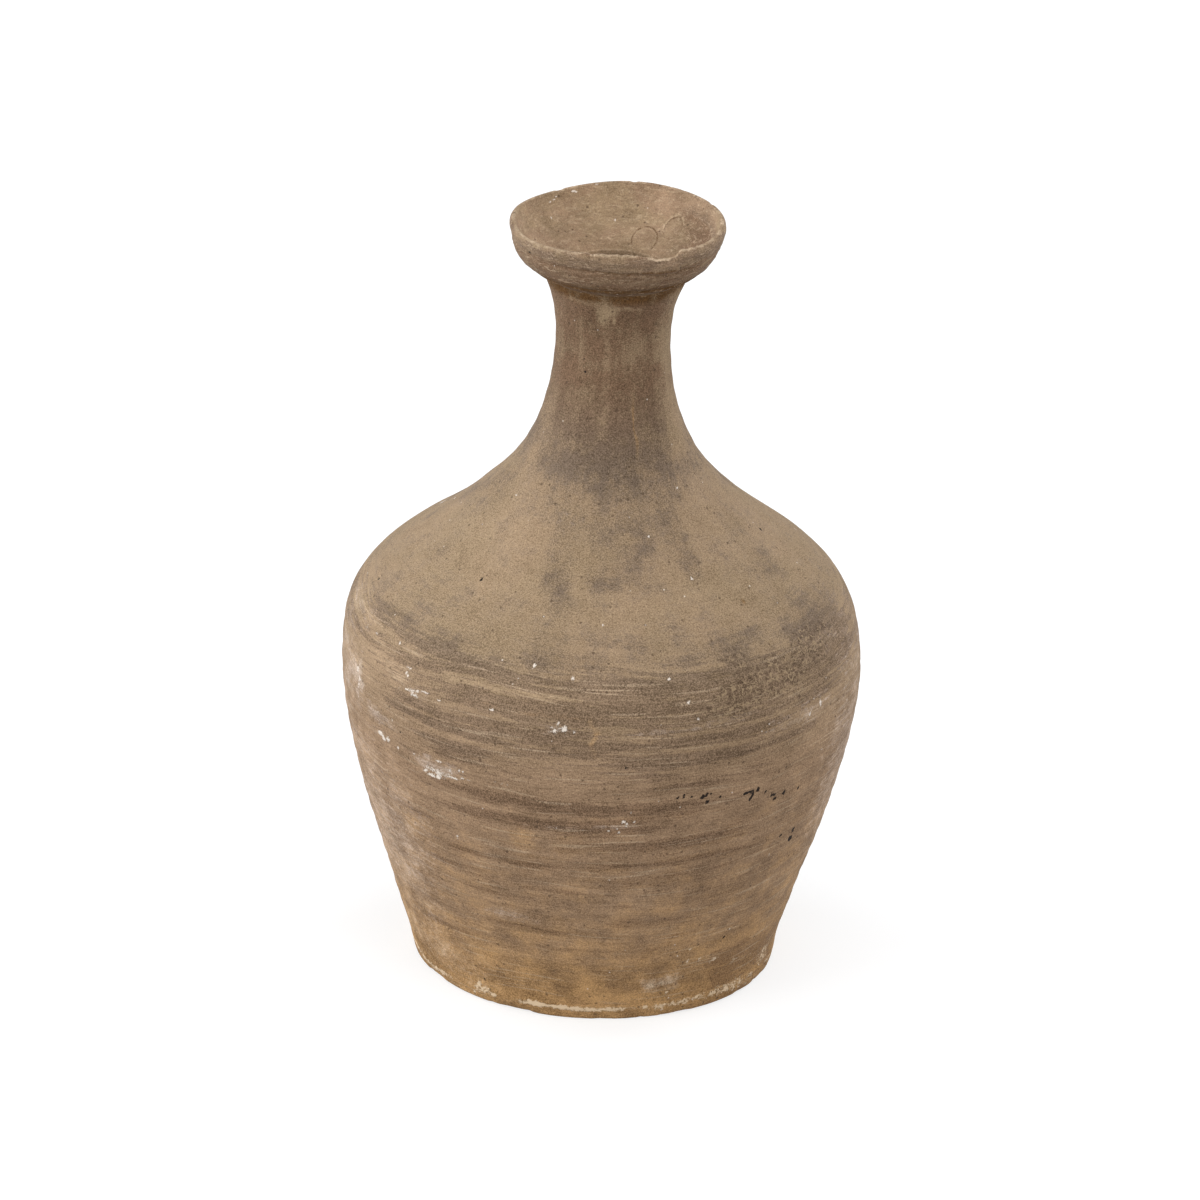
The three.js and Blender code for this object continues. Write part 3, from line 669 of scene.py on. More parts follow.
def weather(places, bowl, hidden):
    """The stains at each vertex: smoke, ochre, lime, flecks, veil, wear, bowl and crackle.

    `bowl` is 1 in the dish's bowl and `hidden` is 1 on faces inside the jug. Turn and height are shaken
    by two sizes of noise first, so that no mark keeps a smooth edge. Spots are shaken in the material
    instead. All run from 0 to 1, but smoke goes down to -0.4.
    """
    turn = np.degrees(np.arctan2(places[:, 0], -places[:, 1]))
    height = places[:, 2] / MM
    shaken = turn + 1.6 * cloud(turn, height, MARK_DRIFT) + 0.6 * cloud(turn, height, MARK_FRAY)
    raised = height + 0.8 * cloud(turn, height, MARK_LIFT) + 0.45 * cloud(turn, height, MARK_RIPPLE)
    outside = (1 - bowl) * (1 - hidden)
    radius = np.hypot(places[:, 0], places[:, 1]) / MM
    # Painted light: the top of the bore, which lies in shade, is made paler and warmer through wear and
    # ochre.
    bore = hidden * smoothstep(height, 300, 335) + bowl * (1 - smoothstep(radius, 21.6, 22.2))

    smoke = outside * wall_smoke(turn, height, shaken, raised)
    smoke = smoke + bowl * (0.80 * covered(BOWL_SMOKE, shaken, raised) - 0.04)
    # Smoke inside the jug fades to none towards the top of the bore, part of the painted light there.
    smoke = smoke + hidden * (0.34 - 0.34 * smoothstep(height, 325, 345))
    ochre = np.interp(raised, *zip(*OCHRE_BY_HEIGHT))
    ochre = 1 - (1 - ochre) * (1 - covered(OCHRE, shaken, raised)) * (1 - 0.25 * bore)
    lime = np.maximum(covered(LIME_MARKS, shaken, raised), spotted(ALL_LIME_SPOTS, turn, height))
    lime = outside * lime + bowl * spotted(BOWL_LIME_SPOTS, turn, height)
    fleck = outside * np.maximum(spotted(FLECKS, turn, height), covered(FLECK_CLOUDS, turn, height))

    crest = smoothstep(height + lip_drop(turn) / MM, *CREST) * (0.60 + 0.40 * about(turn, 16, 40))
    crest = crest * np.clip(0.8 + 0.6 * cloud(turn, height, LIP_RUB), 0, 1)
    foot = (1 - smoothstep(height, 1.0, 3.6)) * np.clip(cloud(turn, height, FOOT_RUB), 0, 1)
    return {
        "smoke": np.clip(smoke, -0.4, 1),
        "ochre": np.clip(ochre, 0, 1),
        "lime": np.clip(lime, 0, 1),
        "fleck": np.clip(fleck, 0, 1),
        "veil": outside * covered(VEILS, shaken, raised),
        # Wear on the crest and the foot, and painted light in the top of the bore.
        "wear": np.clip(crest + 0.4 * foot + 0.8 * bore, 0, 1),
        "bowl": bowl,
        "crackle": outside * covered(CRACKLE, shaken, raised),
    }


def straight(start, end, rows, kind="joint"):
    """A straight face between two outline points."""
    return Face(np.linspace(start, end, rows), kind)


def placed(name, data):
    """A new object in the scene."""
    made = bpy.data.objects.new(name, data)
    bpy.context.scene.collection.objects.link(made)
    return made


def outline(faces, capped):
    """Faces joined into one run: its rows, the kind of each row, and the row where each face starts.

    A joint's first row counts as outer where it follows an outer face. A capped piece leaves out its ends
    on the axis.
    """
    line = np.vstack([face.line[:-1] for face in faces] + ([faces[-1].line[-1:]] if capped else []))
    counts = np.array([len(face.line) - 1 for face in faces])
    starts = np.cumsum(counts) - counts
    counts[-1] += capped
    kinds = np.repeat([face.kind for face in faces], counts)
    for start, face, before in zip(starts, faces, faces[-1:] + faces[:-1]):
        if face.kind == "joint" and before.kind == "outer":
            kinds[start] = "outer"
    if capped:
        return line[1:-1], kinds[1:-1], starts[1:] - 1
    return line, kinds, starts


def shaped(form, line, kinds):
    """The places of an outline turned about the axis, as rows and columns.

    x = radius x sin(turn) and y = -radius x cos(turn), with the outer rows moved by wheel_offset and the
    rows near the lip lowered by lip_drop. Columns stand closer together at the front:
    turn = 360 u - 20 sin(2 pi u).
    """
    part = np.arange(form.columns) / form.columns
    turn = FULL_TURN * part - FRONT_CROWDING * np.sin(2 * math.pi * part)
    radius = np.repeat(line[:, :1], form.columns, 1)
    height = np.repeat(line[:, 1:], form.columns, 1)
    around = np.broadcast_to(turn, radius.shape)
    outer = (kinds == "outer")[:, None]
    bowl = (kinds == "bowl")[:, None]
    level = height / MM
    offset = wheel_offset(form, around, level) * (1 - smoothstep(level, *RELIEF_END))
    dull = BOWL_LUMP * MM * cloud(around, radius / MM, BOWL_LUMPS) * between(level, *LUMPY_BOWL)
    radius = radius + np.where(outer, offset, 0) + np.where(bowl, dull, 0)
    angle = np.radians(around)
    side = np.sin(angle)
    lean = np.where(side < 0, *LIP_LEAN) * np.sign(side) * np.abs(side) ** SIDE_POWER
    radius = radius + lean * MM * smoothstep(level, *LEAN_RISE) * (outer | bowl)
    height = height - lip_drop(around) * smoothstep(level, *DROP_RISE) * (outer | bowl)
    edge = np.clip((BORE_EDGE - line[:, :1] / MM) / BORE_ROUND, 0, 1) ** 2
    edge = edge * smoothstep(level, *EDGE_RISE)
    height = height - BORE_DROP * MM * edge * bowl
    return np.stack([radius * side, -radius * np.cos(angle), height], axis=-1)


def skin(rows, columns, capped):
    """Polygons between rows and columns: the last row joins the first, or a fan closes each end."""
    index = np.arange(rows * columns).reshape(rows, columns)
    aside = np.roll(index, -1, axis=1)
    above = np.roll(index, -1, axis=0)
    above_aside = np.roll(aside, -1, axis=0)
    quads = np.stack([index, aside, above_aside, above], axis=-1)
    if not capped:
        return quads.reshape(-1, 4).tolist()
    low = np.full(columns, rows * columns)
    under = np.stack([low, aside[0], index[0]], axis=-1)
    over = np.stack([index[-1], aside[-1], low + 1], axis=-1)
    return quads[:-1].reshape(-1, 4).tolist() + under.tolist() + over.tolist()


def turned_piece(name, faces, form, capped=False):
    """Turns faces about the axis into one closed mesh that stands for the CAD node of the same name.

    The faces run anticlockwise in the half-plane of radius and height, each starting where the last one
    ended. Rows where two faces meet get sharp edges, but not the lip's crest. A capped piece begins and
    ends on the axis.
    """
    line, kinds, starts = outline(faces, capped)
    places = shaped(form, line, kinds)
    rows, columns = places.shape[:2]
    places = places.reshape(-1, 3)
    if capped:
        places = np.vstack([places, [0, 0, line[0, 1]], [0, 0, line[-1, 1]]])
    mesh = bpy.data.meshes.new(name + "_clay")
    mesh.from_pydata(places, [], skin(rows, columns, capped))
    mesh.shade_smooth()

    ends = np.empty(2 * len(mesh.edges), dtype=np.int32)
    mesh.edges.foreach_get("vertices", ends)
    end_rows = ends.reshape(-1, 2) // columns
    hard = [face.kind != "bowl" for face in faces[capped:]]
    corner = np.isin(end_rows[:, 0], starts[hard]) & (end_rows[:, 0] == end_rows[:, 1])
    sharp = mesh.attributes.new("sharp_edge", "BOOLEAN", "EDGE")
    sharp.data.foreach_set("value", corner)

    in_bowl = np.zeros(len(places))
    in_bowl[:rows * columns] = np.repeat(kinds == "bowl", columns)
    in_bowl *= 1 - smoothstep(places[:, 2] / MM, *BOWL_END)
    hidden = np.zeros(len(places))
    hidden[:rows * columns] = np.repeat(np.isin(kinds, ("inner", "joint")), columns)
    for label, values in weather(places, in_bowl, hidden).items():
        layer = mesh.attributes.new(label, "FLOAT", "POINT")
        layer.data.foreach_set("value", values.astype(np.float32))

    piece = placed(name + "_clay", mesh)
    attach(piece, "root")
    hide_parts(name)
    return piece


class Value:
    """A socket of a material's nodes; arithmetic on it adds Math nodes."""

    def __init__(self, paint, socket):
        self.paint = paint
        self.socket = socket

    def math(self, operation, *values):
        """A Math node on one or two values."""
        return self.paint.node("ShaderNodeMath", {"operation": operation}, dict(enumerate(values)))

    def __add__(self, other):
        return self.math("ADD", self, other)

    def __radd__(self, other):
        return self.math("ADD", other, self)

    def __sub__(self, other):
        return self.math("SUBTRACT", self, other)

    def __rsub__(self, other):
        return self.math("SUBTRACT", other, self)

    def __mul__(self, other):
        return self.math("MULTIPLY", self, other)

    def __rmul__(self, other):
        return self.math("MULTIPLY", other, self)

    def __abs__(self):
        return self.math("ABSOLUTE", self)

    def swing(self, amount):
        """Noise from 0 to 1 made to swing about 0: (value - 0.5) x amount."""
        return (self - 0.5) * amount

    def over(self, low, high):
        """0 below low and 1 above high, with a smooth step. Low above high turns it over."""
        settings = {"interpolation_type": "SMOOTHSTEP"}
        values = {"Value": self, "From Min": low, "From Max": high, "To Min": 0.0, "To Max": 1.0}
        return self.paint.node("ShaderNodeMapRange", settings, values)

    def between(self, rise, fall):
        """1 between two limits, with a smooth rise and fall."""
        return self.over(*rise) * (1 - self.over(*fall))


class Paint:
    """The nodes of one material or world."""

    def __init__(self, tree):
        self.tree = tree
        tree.nodes.clear()

    def node(self, kind, settings=None, values=None, out=0):
        """Adds a node, sets its settings, then its sockets' values or links, and returns one output."""
        made = self.tree.nodes.new(kind)
        for name, value in (settings or {}).items():
            setattr(made, name, value)
        for name, value in (values or {}).items():
            if isinstance(value, Value):
                self.tree.links.new(value.socket, made.inputs[name])
            else:
                made.inputs[name].default_value = value
        return Value(self, made.outputs[out]) if len(made.outputs) else made

    def vector(self, operation, *values, out=0):
        """A Vector Math node on one or two places."""
        return self.node("ShaderNodeVectorMath", {"operation": operation}, dict(enumerate(values)), out)

    def spread(self, spot, wide, tall):
        """A place divided by a pattern's width and height in millimetres."""
        return self.vector("MULTIPLY", spot, (1 / (wide * MM), 1 / (wide * MM), 1 / (tall * MM)))

    def noise(self, place, detail, roughness, distortion):
        """Noise of unit size at a place."""
        values = {"Vector": place, "Scale": 1.0}
        values.update({"Detail": detail, "Roughness": roughness, "Distortion": distortion})
        return self.node("ShaderNodeTexNoise", None, values)

    def mix(self, amount, first, second, blend="MIX"):
        """A colour between two others. Inputs 0, 6, 7 and output 2 are the node's colour sockets."""
        settings = {"data_type": "RGBA", "blend_type": blend, "clamp_factor": True}
        return self.node("ShaderNodeMix", settings, {0: amount, 6: first, 7: second}, out=2)

    def coats(self, colour, finish, *coats):
        """A colour with coats over it in turn, each an amount and the name of a colour of the finish."""
        for amount, name in coats:
            colour = self.mix(amount, colour, opaque(getattr(finish, name)))
        return colour


# What the darkest and lightest sand multiply the clay's colour by.
DARKER = (0.50, 0.48, 0.46, 1.0)
LIGHTER = (1.50, 1.52, 1.54, 1.0)


def opaque(colour):
    """A colour property as the four numbers that a colour socket takes."""
    return (*colour, 1.0)


def ring_lines(paint, spot, shaken, where):
    """Thin lines round the bowl's dried rings, as one value for the dark lines and one for the pale ones.

    With d a place's distance in plan from a ring's middle in units of its half sizes, a line lies where d
    is close to 1. The value shaken moves and breaks it, and where is 1 in the bowl.
    """
    dark = pale = 0.0
    for ring in BOWL_RINGS:
        away = paint.vector("SUBTRACT", spot, (ring.x * MM, ring.y * MM, 0.0))
        sized = paint.vector("MULTIPLY", away, (1 / (ring.wide * MM), 1 / (ring.deep * MM), 0.0))
        apart = paint.vector("LENGTH", sized, out="Value")
        off = abs(apart - 1 + shaken * 0.10)
        line = (1 - off.over(0.03, 0.10)) * (shaken + 0.70).over(0.50, 0.90) * where
        dark = dark + line * max(ring.depth, 0)
        pale = pale + line * max(-ring.depth, 0)
    return dark, pale


# Noise in the clay: the place it reads, its size round and up the jug in millimetres, then its detail,
# roughness and distortion.
PATTERNS = {
    "long_streak": ("bent", 50, 3.4, 5.0, 0.62, 0.3),
    "thread": ("bent", 18, 1.2, 3.0, 0.60, 0.2),
    "hair": ("bent", 15, 0.8, 2.0, 0.50, 0.0),
    "scratch": ("bent", 32, 1.1, 1.0, 0.50, 0.0),
    "wisp": ("bent", 5.5, 1.1, 3.0, 0.60, 1.2),
    "dash": ("bent", 12, 1.9, 3.0, 0.60, 1.0),
    "run": ("rolled", 12, 60, 5.0, 0.62, 0.4),
    "mottle": ("spot", 14, 14, 6.0, 0.68, 0.0),
    "patch": ("spot", 60, 45, 4.0, 0.60, 0.0),
    "blot": ("spot", 24, 12, 5.0, 0.62, 0.4),
    "crumb": ("spot", 3.0, 2.2, 5.0, 0.70, 0.0),
    "grain": ("spot", 1.1, 1.0, 3.0, 0.70, 0.0),
    "dust": ("spot", 0.6, 0.6, 1.0, 0.50, 0.0),
    "vein": ("spot", 5.0, 4.0, 2.0, 0.50, 0.9),
}
STAINS = ("smoke", "ochre", "lime", "veil", "fleck", "wear", "bowl", "crackle")


def clay_values(paint):
    """What the clay is worked out from, by name: place, patterns, the mesh's stains and zones.

    Wheel streaks are noise drawn out round the jug, at a place that slow noise lifts. Runs are noise at a
    place rolled onto a cylinder, so that they follow the wall down. Zones are 1 on their part of the jug.
    """
    spot = paint.node("ShaderNodeTexCoord", out="Object")
    up = paint.node("ShaderNodeSeparateXYZ", None, {0: spot}, out="Z")
    slow = paint.noise(paint.spread(spot, 90, 60), 1.0, 0.5, 0.0)
    lift = paint.node("ShaderNodeCombineXYZ", None, {"Z": slow.swing(0.012)})
    facing = paint.vector("NORMALIZE", paint.vector("MULTIPLY", spot, (1.0, 1.0, 0.0)))
    around = paint.vector("MULTIPLY", facing, (0.1, 0.1, 0.1))
    rise = paint.node("ShaderNodeCombineXYZ", None, {"Z": up})
    bent = paint.vector("ADD", spot, lift)
    places = {"spot": spot, "bent": bent, "rolled": paint.vector("ADD", around, rise)}
    c = SimpleNamespace(spot=spot, up=up)
    for name, (place, wide, tall, *shape) in PATTERNS.items():
        setattr(c, name, paint.noise(paint.spread(places[place], wide, tall), *shape))
    for name in STAINS:
        setattr(c, name, paint.node("ShaderNodeAttribute", {"attribute_name": name}, out="Fac"))

    c.body = 1 - up.over(0.186, 0.198)
    c.dish = up.over(0.348, 0.350)
    c.wheel = c.body * (0.35 + up.over(0.030, 0.130) * 0.65) + c.dish * 0.3
    c.wheel = c.wheel + (1 - c.body) * (1 - up.over(0.205, 0.235)) * 0.35
    c.combed = c.wheel + c.body * up.between((0.020, 0.045), (0.030, 0.130)) * 0.45
    # The band under the dish, where the shade colour paints shade over the stain.
    c.under = up.between((0.3420, 0.3480), (0.3562, 0.3590))
    lip = up.between((0.3675, 0.3690), (0.3735, 0.3750))
    shoulder = up.over(0.125, 0.155) * 0.5 + up.over(0.180, 0.200) * 0.5
    c.grey = shoulder * (1 - up.over(0.255, 0.310)) + lip * 0.5
    return c


def add_stains(paint, c):
    """Adds to the clay's values `c` how far each stain covers it.

    A stain's amount is shaken by noise and cut at a threshold, so its edge breaks into threads and
    crumbs.
    """
    fibre = c.long_streak.swing(1.3) + c.thread.swing(1.5) + c.hair.swing(0.7)
    c.tooled = c.dish * (1 - c.bowl * 0.75) * (c.dash.swing(1.3) + c.wisp.swing(1.0))
    loose = c.mottle.swing(1.5 - c.body * 0.5) + c.crumb.swing(0.6 - c.body * 0.1 - c.dish * 0.2)
    loose = loose + c.grain.swing(0.7 - c.body * 0.4 - c.dish * 0.3) + c.tooled
    runs = (1 - c.wheel) * (c.run.swing(0.45) + c.blot.swing(0.8))
    amount = c.smoke + c.wheel * fibre + runs + loose
    banded = amount.over(0.28, 0.68) * 0.5 + amount.over(0.44, 0.56) * 0.5
    c.dark = c.body * banded + (1 - c.body) * amount.over(0.16, 0.94)
    # Where smoke is heaviest on the dish's outside, in its grooves and under it; the shade colour paints
    # shade there.
    c.deep = c.smoke.over(0.84, 0.96) * c.dish * (1 - c.bowl)
    c.warm = (c.ochre + c.mottle.swing(1.0) + c.wheel * c.long_streak.swing(0.7) - 0.1).over(0.1, 0.9)
    film = c.veil + c.crumb.swing(1.2) + c.mottle.swing(1.0) + c.wheel * c.thread.swing(1.2)
    c.film = film.over(0.20, 1.0) * c.veil.over(0.02, 0.20)
    shaken = c.crumb.swing(1.4) + c.grain.swing(1.5)
    c.crust = (c.lime + shaken + c.mottle.swing(1.3)).over(0.38, 0.72) * c.lime.over(0.04, 0.20)
    burnt = c.fleck + c.crumb.swing(0.9) + c.grain.swing(0.7)
    c.burnt = burnt.over(0.40, 0.56) * c.fleck.over(0.02, 0.2)
    # Rubbed clay on the crest and the foot, and painted light in the top of the bore.
    c.rubbed = (c.wear + c.grain.swing(1.0) + c.crumb.swing(0.8)).over(0.25, 0.80)
    rough = (c.crackle + c.mottle.swing(2.0) + c.crumb.swing(1.2)).over(0.55, 0.75)
    rough = rough * c.crackle.over(0.1, 0.4)
    c.worm = (1 - abs(c.vein - 0.5).over(0.010, 0.036)) * rough
    c.cracked = rough * (1 - c.worm) * c.crumb.over(0.46, 0.60)
    c.ring_dark, c.ring_pale = ring_lines(paint, c.spot, shaken, c.bowl * c.up.over(0.3536, 0.3542))

    cell = {"Vector": paint.spread(c.spot, 3.4, 3.4), "Scale": 1.0, "Randomness": 1.0}
    middle = paint.node("ShaderNodeTexVoronoi", None, cell, out="Distance")
    draw = paint.node("ShaderNodeTexVoronoi", None, cell, out="Color")
    pit_chance = paint.node("ShaderNodeSeparateColor", None, {0: draw}, out=0)
    speck_chance = paint.node("ShaderNodeSeparateColor", None, {0: draw}, out=1)
    # Small pits, darkened with the pit colour below as dirt and painted shade.
    c.pit = (1 - middle.over(0.12, 0.24)) * pit_chance.over(0.80, 0.86)
    c.speck = (1 - middle.over(0.08, 0.15)) * speck_chance.over(0.978, 0.984)


def clay_colour(paint, finish, c):
    """The clay's colour: bare clay, stain, dust and wear, then the shade of its sand, then crusts."""
    fired = paint.mix(c.dish, c.patch, c.blot).over(0.35, 0.65) * (0.4 + c.dish * 0.6)
    low = 1 - c.up.over(0.120, 0.198)
    clay = paint.coats(opaque(finish.tan), finish, (fired, "rose"), (low, "buff"), (c.warm, "ochre"))
    # Under the dish and in its grooves the stain turns to the shade colour: painted shade.
    stained = paint.coats(
        opaque(finish.umber), finish,
        (c.grey, "soot"), (c.warm * 0.7, "peat"), (c.under, "shade"), (c.deep * 0.8, "shade"))
    clay = paint.mix(c.dark * (1 - c.body * 0.30), clay, stained)
    wisps = c.wisp.over(0.40, 0.28) * c.dish * (0.5 - c.bowl * 0.3)
    # Cracks take the pit colour as dirt and painted shade.
    clay = paint.coats(clay, finish, (wisps, "umber"), (c.cracked * 0.65, "pit"))
    foot = c.ochre.over(0.3, 0.9)
    dusted = paint.coats(opaque(finish.chalk), finish, (foot * 0.35, "cream"))
    clay = paint.mix(c.film * 0.55, clay, dusted)
    clay = paint.coats(
        clay, finish,
        (c.wisp.over(0.54, 0.66) * c.dish * 0.45, "pale"),
        (c.crumb.over(0.53, 0.67) * c.dish * (0.18 + c.bowl * 0.34), "pale"),
        (c.scratch.over(0.63, 0.70) * c.body * 0.38, "pale"),
        # Rubbed clay, and painted light in the top of the bore.
        (c.rubbed * 0.72, "pale"))

    sand = c.grain.swing(1.5) + c.dust.swing(3.2) + c.crumb.swing(0.6)
    lines = c.combed * (0.6 + c.dark * 0.4) * (c.thread.swing(0.6) + c.hair.swing(1.1)) + c.tooled * 0.5
    cloudy = c.mottle.swing(0.9 + c.ochre * 0.8) + c.patch.swing(0.6) + c.blot.swing(0.4 + c.ochre * 0.6)
    tone = sand * (0.42 + c.dark * 0.36 + c.ochre * 0.12) * (1 - c.dish * 0.30) + lines + cloudy + 0.5
    clay = paint.mix(1.0, clay, paint.mix(tone, DARKER, LIGHTER), "MULTIPLY")

    clay = paint.coats(
        clay, finish,
        (c.pit * 0.6, "pit"),
        (c.ring_dark * 0.90, "peat"),
        (c.ring_pale * 0.34, "cream"),
        (c.worm * 0.9, "tan"))
    crust = paint.coats(opaque(finish.lime), finish, (foot, "cream"))
    clay = paint.mix(c.crust * 0.95, clay, crust)
    return paint.coats(clay, finish, (c.speck * 0.7, "lime"), (c.burnt * 0.95, "burnt"))


def clay_relief(c):
    """The height of the finest relief, from 0 to about 3: sand, wheel lines, crusts, pits and rings."""
    relief = c.grain * (0.6 - c.dish * 0.25) + c.dust * 0.25 + c.crumb * 0.6
    relief = relief + c.wheel * (c.thread * 0.7 + c.hair * 0.3 + c.long_streak * 0.4)
    relief = relief + c.dish * (c.wisp * 0.6 + c.dash * 0.6) + c.crust * 0.5 + c.worm * 0.6
    relief = relief - c.cracked * 0.4 - c.pit * 0.8 - c.burnt * 0.25
    return relief - c.ring_dark * 0.5 + c.ring_pale * 0.3


def clay_material(name, finish):
    """Unglazed, smoked and weathered clay, worked out on Object coordinates and the mesh's stains."""
    material = bpy.data.materials.new(name)
    material.use_nodes = True
    paint = Paint(material.node_tree)
    c = clay_values(paint)
    add_stains(paint, c)
    bump = {"Strength": 0.6, "Distance": 0.7 * MM, "Height": clay_relief(c)}
    surface = {
        "Base Color": clay_colour(paint, finish, c),
        "Roughness": 0.74 - c.dark * 0.08 + c.under * 0.3 + c.crust * 0.2 + c.grain.swing(0.3),
        "Normal": paint.node("ShaderNodeBump", None, bump, out="Normal"),
        "Specular IOR Level": 0.04,
        "Sheen Weight": 0.06,
        "Sheen Roughness": 0.35,
        "Sheen Tint": (1.0, 0.93, 0.87, 1.0),
    }
    shader = paint.node("ShaderNodeBsdfPrincipled", None, surface)
    paint.node("ShaderNodeOutputMaterial", None, {"Surface": shader})
    return material


def material_of(context, slot):
    """The material of a record slot, made once."""
    found = bpy.data.materials.get("jug_" + slot)
    return found or clay_material("jug_" + slot, context.scene.jug_finish)


def dressed(context, name, faces, slot, capped=False):
    """Builds one piece and gives it its clay."""
    piece = turned_piece(name, faces, context.scene.jug_form, capped)
    piece.data.materials.append(material_of(context, slot))
    return piece


def wall_faces(node, form):
    """A thrown wall: outer face upwards, top joint, inner face downwards and bottom joint."""
    inner = wall_points(node, False)
    outer = body_run(inner[0, 1], inner[-1, 1], form.row_step)
    inside = through(inner, form.inner_step)[::-1]
    return [
        Face(outer, "outer"),
        straight(outer[-1], inside[0], 4),
        Face(inside, "inner"),
        straight(inside[-1], outer[0], 4),
    ]


def coil_faces(node, form):
    """A luted joint: a thin strip between two walls, and a coil smoothed over its inner end."""
    points = node_points(node)
    heights = np.unique(points[:, 1])
    levels = [points[points[:, 1] == height] for height in heights]
    coil = np.array([level[0] for level in levels])
    back = np.array([level[min(1, len(level) - 1)] for level in levels])
    # Only the strip's two heights have three points: the coil, the wall's back and the outer edge.
    joint = np.array([level[-1] for level in levels if len(level) == 3])
    outer = body_run(joint[0, 1], joint[1, 1], STRIP_STEP)
    under = back[heights <= joint[0, 1]]
    over = back[heights >= joint[1, 1]]
    return [
        Face(outer, "outer"),
        straight(outer[-1], over[0], 3),
        straight(over[0], over[-1], 4),
        Face(through(coil, form.row_step)[::-1], "inner"),
        straight(under[0], under[-1], 4),
        straight(under[-1], outer[0], 3),
    ]


def cove_faces(node, form):
    """The foot joint: a thin strip under the wall, and a cove in the corner between wall and slab."""
    points = node_points(node)
    low, joint = np.unique(points[:, 1])[:2]
    behind = points[points[:, 1] == joint][0]
    cove = np.vstack([points[points[:, 1] == low][:1], points[points[:, 1] > joint]])
    outer = body_run(low, joint, STRIP_STEP)
    return [
        Face(outer, "outer"),
        straight(outer[-1], behind, 3),
        straight(behind, cove[-1], 4),
        Face(through(cove, form.row_step)[::-1], "inner"),
        straight(cove[0], outer[0], 4),
    ]


def strip_faces(node):
    """The mouth joint: a thin flat ring between neck and dish."""
    low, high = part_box(node)
    bore = node_points(node)[0, 0]
    rim = BODY_LINE[-1, 0]
    return [
        straight((rim, low.z), (rim, high.z), 3, "outer"),
        straight((rim, high.z), (bore, high.z), 4),
        straight((bore, high.z), (bore, low.z), 3, "inner"),
        straight((bore, low.z), (rim, low.z), 4),
    ]


def dish_faces(node, form):
    """The dish: its flared outside, over the lip, down the bowl and the bore, and back along the joint.

    A line up the middle of the wall tells outside points from bowl points. The outside runs up to the
    crest and the bowl runs down from it. Long chords get points of their own first, so that corners are
    rounded only close by.
    """
    points = node_points(node)
    radii, heights = np.array(DISH_WALL).T * MM
    outside = points[:, 0] > np.interp(points[:, 1], heights, radii)
    points = np.vstack([points[outside], points[~outside][::-1]])
    profile = through(closely(points, LONGEST_CHORD), form.lip_step)
    crest = int(np.argmax(profile[:, 1]))
    return [
        Face(profile[:crest + 1], "outer"),
        Face(profile[crest:], "bowl"),
        straight(points[-1], points[0], 4),
    ]


def slab_faces(node, form):
    """The base slab: its underside from the axis, its worn edge, and its top back to the axis."""
    points = node_points(node)
    edge = points[points[:, 0] > TOUCH]
    low = np.array([0.0, edge[0, 1]])
    high = np.array([0.0, edge[-1, 1]])
    return [
        straight(low, edge[0], 12, "under"),
        Face(through(edge, form.lip_step), "outer"),
        straight(edge[-1], high, 8),
    ]


def a_length(name, description, default):
    """A length property, in metres."""
    return bpy.props.FloatProperty(name=name, description=description, default=default, unit="LENGTH")


def an_angle(name, description, degrees):
    """An angle property, given in degrees."""
    default = math.radians(degrees)
    return bpy.props.FloatProperty(name=name, description=description, default=default, unit="ROTATION")


def a_number(name, description, default):
    """A property that is a plain number."""
    return bpy.props.FloatProperty(name=name, description=description, default=default)


def a_colour(name, description, default):
    """A colour property."""
    return bpy.props.FloatVectorProperty(
        name=name, description=description, default=default, size=3, subtype="COLOR")


class JugForm(bpy.types.PropertyGroup):
    """Sizes of the thrown surface."""

    columns: bpy.props.IntProperty(
        name="Columns", description="Points round the jug on every piece", default=560, min=48)
    row_step: a_length("Row step", "Distance between rows on outer faces", 1.3 * MM)
    inner_step: a_length("Inner step", "Distance between rows inside", 12 * MM)
    lip_step: a_length("Lip step", "Distance between rows on the dish and the foot", 0.65 * MM)
    out_of_round: a_length("Out of round", "How far the jug departs from a circle", 0.35 * MM)
    ridge_pitch: a_length("Ridge pitch", "Distance between throwing ridges", 10.5 * MM)
    ridge_height: a_length("Ridge height", "Height of the throwing ridges", 0.22 * MM)
    lump_height: a_length("Lump height", "Height of soft lumps in the wall", 0.20 * MM)
    sand_height: a_length("Sand height", "Height of the coarse sand in the wall", 0.07 * MM)
    groove_depth: a_length("Groove depth", "Depth of the grooves at joints and lip", 1.0 * MM)


